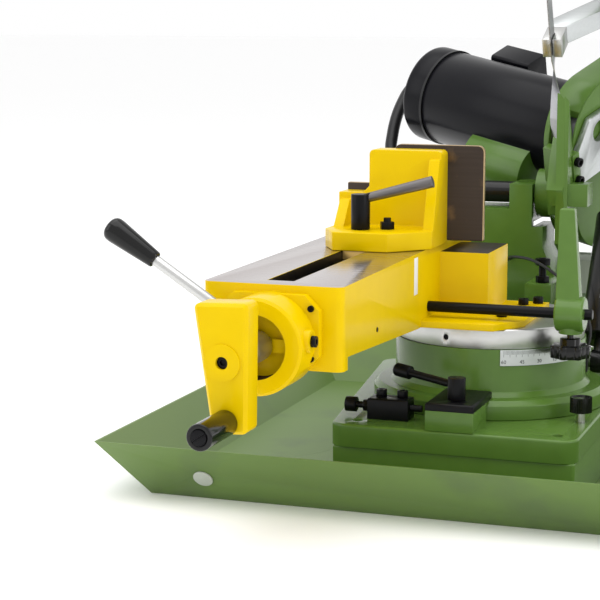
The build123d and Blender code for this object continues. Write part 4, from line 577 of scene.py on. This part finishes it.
def bore_out(piece, radius, vertices):
    """Cuts a round bore along z right through a short piece on the origin."""
    cutter = cylinder("bore_cutter", radius, 0.02, vertices)
    cutter.matrix_world = Matrix.Translation((0, 0, -0.005))
    take(piece)
    cut = piece.modifiers.new("bore", "BOOLEAN")
    cut.object = cutter
    cut.operation = "DIFFERENCE"
    bpy.ops.object.modifier_apply(modifier=cut.name)
    bpy.data.objects.remove(cutter)


def facing(point, way, up=(0, 0, 1)):
    """A place whose z looks along a way, and whose y leans to up as far as it can."""
    z = Vector(way).normalized()
    x = Vector(up).cross(z).normalized()
    y = z.cross(x)
    place = Matrix((x, y, z)).transposed().to_4x4()
    place.translation = Vector(point)
    return place


# %% [markdown]
# ## Socket screws
# A cap screw is a short cylinder with a round socket sunk in its top: the top face is inset, and
# the inner face is pushed down. Each size is modelled once and copied.

# %% Socket screw model
def cap_screw(name, radius, height):
    """A cap screw head on the origin, with a sunk socket."""
    head = cylinder(name, radius, height, 32)
    pick_faces(head, lambda c, n: n.z > 0.9)
    bpy.ops.mesh.inset(thickness=radius * 0.42)
    bpy.ops.mesh.extrude_region_move(TRANSFORM_OT_translate={"value": (0, 0, -height * 0.55)})
    bpy.ops.object.mode_set(mode="OBJECT")
    soften(head, radius * 0.08, 2)
    return head


housing_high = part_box("spindle_housing")[1]
FLANGE_FRONT_Y = housing_high.y - 0.012
FLANGE_SCREW_X = 0.0475
FLANGE_SCREW_Z = 0.0265
FLANGE_LIFT = 0.01
flange_screws = copies(
    cap_screw("flange_screw", 3.4 * MM, 3.5 * MM), "flange_screws",
    [facing((spindle_at.x + side * FLANGE_SCREW_X, FLANGE_FRONT_Y,
             spindle_at.z + FLANGE_LIFT + height * FLANGE_SCREW_Z), (0, -1, 0))
     for side in (-1, 1) for height in (-1, 1)])
settle(flange_screws, Matrix.Identity(4), black_oxide_and_painted_shade, "base")
print("flange screws:", len(flange_screws.data.polygons), "faces")

# %% [markdown]
# ## Angle scale
# The scale is a strip of metal bent round the turntable with 61 lines, a longer one at each fifth
# and a number at each fifteenth. The lines stand closer than true degrees, so that 0 to 60 fits
# the strip. They are thin blocks turned round the swivel axis. The numbers are text made a mesh.

# %% Scale lines
scale_low, scale_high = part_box("scale_plate")
SCALE_R = 0.1192
SCALE_START = radians(-69)
SCALE_STEP = radians(0.72)
MARKS = 61
mark_places = []
for step in range(MARKS):
    length = 0.0075 if step % 5 == 0 else 0.0045
    turn = Matrix.Rotation(SCALE_START + step * SCALE_STEP, 4, "Z")
    mark_places.append(turn @ Matrix.Translation((SCALE_R, 0, scale_high.z - 0.001 - length / 2))
                       @ Matrix.Diagonal((1, 1, length, 1)))
scale_lines = copies(block("scale_mark", (0.0003, 0.00035, 1)), "scale_lines", mark_places)
settle(scale_lines, Matrix.Identity(4), ink, "turntable")
print("scale lines:", MARKS)

# %% Scale numbers
number_pieces = []
for number in (60, 45, 30, 15, 0):
    bpy.ops.object.select_all(action="DESELECT")
    bpy.ops.object.text_add()
    letters = bpy.context.object
    letters.data.body = str(number)
    letters.data.size = 0.0062
    letters.data.align_x = "CENTER"
    letters.data.extrude = 0.00012
    bpy.ops.object.convert(target="MESH")
    turn = SCALE_START + (60 - number) * SCALE_STEP
    outward = Vector((cos(turn), sin(turn), 0))
    foot = outward * (SCALE_R + 0.0001) + Vector((0, 0, scale_low.z + 0.0025))
    letters.matrix_world = facing(foot, outward)
    bpy.ops.object.transform_apply(location=True, rotation=True, scale=True)
    number_pieces.append(bpy.context.object)
bpy.ops.object.select_all(action="DESELECT")
for letters in number_pieces:
    letters.select_set(True)
bpy.context.view_layer.objects.active = number_pieces[0]
bpy.ops.object.join()
scale_numbers = bpy.context.object
scale_numbers.name = "scale_numbers"
settle(scale_numbers, Matrix.Identity(4), ink, "turntable")
print("scale numbers:", len(scale_numbers.data.polygons), "faces")

# %% [markdown]
# ## Knurled index knob
# A knurl is a ring of fine ridges for the fingers. A cylinder has every other side vertex drawn
# in a little, which leaves ridges all round, and its top is sunk a little inside a rim.

# %% Knurled knob
knob_low, knob_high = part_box("index_knob")
knob_at = (knob_low + knob_high) / 2
KNURLS = 72
KNURL_HEIGHT = 0.018
knurl = cylinder("index_knob_knurl", (knob_high.x - knob_low.x) / 2, KNURL_HEIGHT, KNURLS)
for vertex in clear_picks(knurl).vertices:
    turn_count = round(atan2(vertex.co.y, vertex.co.x) / (2 * pi) * KNURLS)
    vertex.select = turn_count % 2 == 0
bpy.ops.object.mode_set(mode="EDIT")
bpy.ops.mesh.select_mode(type="VERT")
bpy.ops.transform.resize(value=(0.955, 0.955, 1))
bpy.ops.object.mode_set(mode="OBJECT")
pick_faces(knurl, lambda c, n: n.z > 0.9)
bpy.ops.mesh.inset(thickness=0.0022)
bpy.ops.mesh.inset(thickness=0.0015)
bpy.ops.transform.translate(value=(0, 0, -0.0012))
bpy.ops.object.mode_set(mode="OBJECT")
settle(knurl, Matrix.Translation((knob_at.x, knob_at.y, knob_high.z - KNURL_HEIGHT)), black_plastic,
       "index_knob")
stem = cylinder("index_knob_stem", 0.005, knob_high.z - KNURL_HEIGHT - knob_low.z, 32)
settle(stem, Matrix.Translation((knob_at.x, knob_at.y, knob_low.z)), bright, "index_knob")
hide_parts("index_knob")
print("knurls:", KNURLS)

# %% [markdown]
# ## The plane of the band wheels
# Everything on the bow is easier to place in the plane of its wheels: forward along the bow,
# up towards the spine, and out towards the motor. The two wheel joints give that plane.

# %% Bow plane
out_way = Vector(joints["drive_spin"]["axis"]).normalized()
rear_wheel = Vector(joints["drive_spin"]["pos_m"])
front_wheel = Vector(joints["idler_spin"]["pos_m"])
forward_way = (front_wheel - rear_wheel).normalized()
up_way = out_way.cross(forward_way)
bow_place = Matrix((forward_way, up_way, out_way)).transposed().to_4x4()
bow_place.translation = rear_wheel
SPAN = (front_wheel - rear_wheel).length
from_bow = bow_place.inverted()
LOBE_AT = Vector((-47, -61))
LOBE_REACH = 47
LOBE_END = 201
MOTOR_REACH = 70.6


def on_lobe(centre, normal):
    """True for a face of the green drive lobe beside the motor."""
    local = from_bow @ centre / MM
    beside = local.xy.length > MOTOR_REACH
    return beside and local.z < LOBE_END and (local.xy - LOBE_AT).length < LOBE_REACH


refinish(bpy.data.objects["motor_body_skin"], green, on_lobe)
refinish(bpy.data.objects["gearbox_skin"], motor_grey, lambda c, n: (from_bow @ c).xy.length < 0.07)
print("wheel centres apart:", round(SPAN, 4))

# %% [markdown]
# ## Teeth of the blade
# The teeth stand on the lower edge of the cutting strand, where the guides hold the band
# upright. One tooth is a small wedge. An array repeats it along the strand.

# %% Blade teeth
hinge_at = Vector(joints["bow_hinge"]["pos_m"])
RAISED = radians(-joints["bow_hinge"]["range_deg"][1])
lift = Matrix.Translation(hinge_at) @ Matrix.Rotation(RAISED, 4, "X") @ Matrix.Translation(-hinge_at)
TEETH_PITCH = 0.0065
TEETH_LENGTH = 0.27
TOOTH_DEPTH = 0.0028
teeth = block("blade_teeth", (0.0011, TEETH_PITCH * 0.96, TOOTH_DEPTH))
pick_faces(teeth, lambda c, n: n.z < -0.9)
bpy.ops.transform.resize(value=(1, 0.16, 1), center_override=(0, TEETH_PITCH * 0.45, 0))
bpy.ops.object.mode_set(mode="OBJECT")
array = teeth.modifiers.new("row", "ARRAY")
array.count = int(TEETH_LENGTH / TEETH_PITCH)
array.use_relative_offset = False
array.use_constant_offset = True
array.constant_offset_displace = (0, -TEETH_PITCH, 0)
bpy.ops.object.modifier_apply(modifier=array.name)
BLADE_X = 0.028
TEETH_START = 0.075
TEETH_TOP = 0.2772
settle(teeth, lift @ Matrix.Translation((BLADE_X, TEETH_START, TEETH_TOP - TOOTH_DEPTH / 2)), blade_steel,
       "saw_bow")
print("teeth:", int(TEETH_LENGTH / TEETH_PITCH))

# %% [markdown]
# ## Motor details
# The fan cover has a flat disc with a bright steel ring at its rim as a painted highlight, and a row of
# air slots laid on as near-black strips of painted shade. The terminal box on top of the motor has a
# lid with four screws.

# %% Fan disc and ring
FAN_OUT = 0.338
FAN_DISC_R = 0.052
BAND_OUT = 0.298
SLOTS = 24
disc = cylinder("fan_disc", FAN_DISC_R, 0.0012, 64)
soften(disc, 0.0004)
settle(disc, bow_place @ Matrix.Translation((0, 0, FAN_OUT - 0.0004)), motor_grey,
       "saw_bow")
bpy.ops.object.select_all(action="DESELECT")
# The bright steel ring at the disc's rim is a painted highlight.
bpy.ops.mesh.primitive_torus_add(major_radius=FAN_DISC_R + 0.001, minor_radius=0.0009,
                                 major_segments=96, minor_segments=10)
fan_ring = bpy.context.object
fan_ring.name = "fan_ring"
bpy.ops.object.shade_smooth()
settle(fan_ring, bow_place @ Matrix.Translation((0, 0, FAN_OUT)), bright, "saw_bow")
band = cylinder("motor_band", 0.0722, 0.004, 96)
bore_out(band, 0.0700, 96)
bpy.ops.object.shade_smooth_by_angle(angle=radians(32))
settle(band, bow_place @ Matrix.Translation((0, 0, BAND_OUT)), rubber, "saw_bow")
# The air slots are near-black strips laid on the disc as painted shade for the openings.
slots = copies(block("fan_slot", (0.028, 0.004, 0.0008)), "fan_slots",
               [bow_place @ Matrix.Rotation(2 * pi * k / SLOTS, 4, "Z")
                @ Matrix.Translation((0.030, 0, FAN_OUT + 0.0006)) for k in range(SLOTS)])
settle(slots, Matrix.Identity(4), black_oxide_and_painted_shade, "saw_bow")
print("air slots:", SLOTS)

# %% Terminal box lid and flange bolts
LID_FORWARD = 0.010
LID_UP = 0.1045
LID_OUT = 0.230
lid = block("terminal_lid", (0.078, 0.003, 0.062))
soften(lid, 0.001)
settle(lid, bow_place @ Matrix.Translation((LID_FORWARD, LID_UP, LID_OUT)), motor_grey,
       "saw_bow")
lid_screws = copies(cap_screw("lid_screw", 2.6 * MM, 2 * MM), "lid_screws",
                    [bow_place
                     @ Matrix.Translation((LID_FORWARD + x * 0.033, LID_UP + 0.0013, LID_OUT + z * 0.025))
                     @ Matrix.Rotation(radians(-90), 4, "X") for x in (-1, 1) for z in (-1, 1)])
settle(lid_screws, Matrix.Identity(4), bright, "saw_bow")
flange_bolts = copies(cap_screw("motor_bolt", 5 * MM, 6 * MM), "motor_bolts",
                      [bow_place @ Matrix.Rotation(radians(45 + 90 * k), 4, "Z")
                       @ Matrix.Translation((0.052, 0, 0.118)) for k in range(4)])
settle(flange_bolts, Matrix.Identity(4), black_oxide_and_painted_shade, "saw_bow")
print("terminal box closed")

# %% [markdown]
# ## Feed cylinder cap and label
# The black cylinder has a brown gland cap at its top and a blank white label wrapped on its
# front. The label is a thin part of a cylinder: the faces that look away are deleted, and the
# rest gets a little thickness.

# %% Cylinder cap and label
foot_at = Vector(joints["cylinder_swing"]["pos_m"])
rod_way = Vector(joints["feed_rod_slide"]["axis"]).normalized()
cylinder_place = facing(foot_at, rod_way, (1, 0, 0))
CYLINDER_R = 0.030
CYLINDER_END = 0.210
gland = cylinder("gland_cap", 0.0255, 0.006, 64)
soften(gland, 0.0012)
bore_out(gland, 0.0096, 48)
settle(gland, cylinder_place @ Matrix.Translation((0, 0, CYLINDER_END)), cap_brown,
       "cylinder")
label = cylinder("cylinder_label", CYLINDER_R + 0.0002, 0.082, 96)
front = cylinder_place.inverted().to_3x3() @ Vector((0.75, -0.66, 0))
front.z = 0
front.normalize()
pick_faces(label, lambda c, n: Vector((n.x, n.y, 0)).dot(front) < 0.45 or abs(n.z) > 0.5)
bpy.ops.mesh.delete(type="FACE")
bpy.ops.object.mode_set(mode="OBJECT")
bpy.ops.object.shade_smooth()
settle(label, cylinder_place @ Matrix.Translation((0, 0, 0.078)), label_white, "cylinder")
thick = label.modifiers.new("paper", "SOLIDIFY")
thick.thickness = 0.0002
take(label)
bpy.ops.object.modifier_apply(modifier=thick.name)
print("label faces:", len(label.data.polygons))

# %% [markdown]
# ## Screws, glands and small fittings
# Two screws hold the cylinder bracket to its step, a nut closes each end of the conduit, an oil
# hole sits in the side of the bed, and a blank sticker is on the bed beside the jaw.

# %% Small fittings
bracket_screws = copies(cap_screw("bracket_screw", 6.5 * MM, 7 * MM), "bracket_screws",
                        [bow_place @ Matrix.Translation((x * MM, -0.1335, -0.038))
                         @ Matrix.Rotation(pi, 4, "X") for x in (20, 48)])
settle(bracket_screws, Matrix.Identity(4), black_oxide_and_painted_shade, "saw_bow")
gland_nuts = copies(cylinder("gland_nut", 0.0125, 0.012, 6), "gland_nuts",
                    [bow_place @ Matrix.Translation((0.010, 0.090, 0.265)),
                     bow_place @ Matrix.Translation((-0.050, -0.078, 0.200))])
soften(gland_nuts, 0.0008)
settle(gland_nuts, Matrix.Identity(4), black_plastic, "saw_bow")
# The oil hole is a shallow cup painted near-black as painted shade of the hole.
oil_hole = cylinder("oil_hole", 0.0028, 0.0006, 32)
pick_faces(oil_hole, lambda c, n: n.z > 0.9)
bpy.ops.mesh.inset(thickness=0.0009)
bpy.ops.mesh.extrude_region_move(TRANSFORM_OT_translate={"value": (0, 0, -0.0004)})
bpy.ops.object.mode_set(mode="OBJECT")
settle(oil_hole, facing((WING_EDGE_X, -0.303, 0.219), (1, 0, 0)), black_oxide_and_painted_shade, "base")
sticker = block("blank_sticker", (0.015, 0.044, 0.0003))
soften(sticker, 0.0001)
settle(sticker, facing((WING_EDGE_X + 0.0001, -0.148, 0.257), (1, 0, 0)), label_white,
       "base")
print("fittings placed")
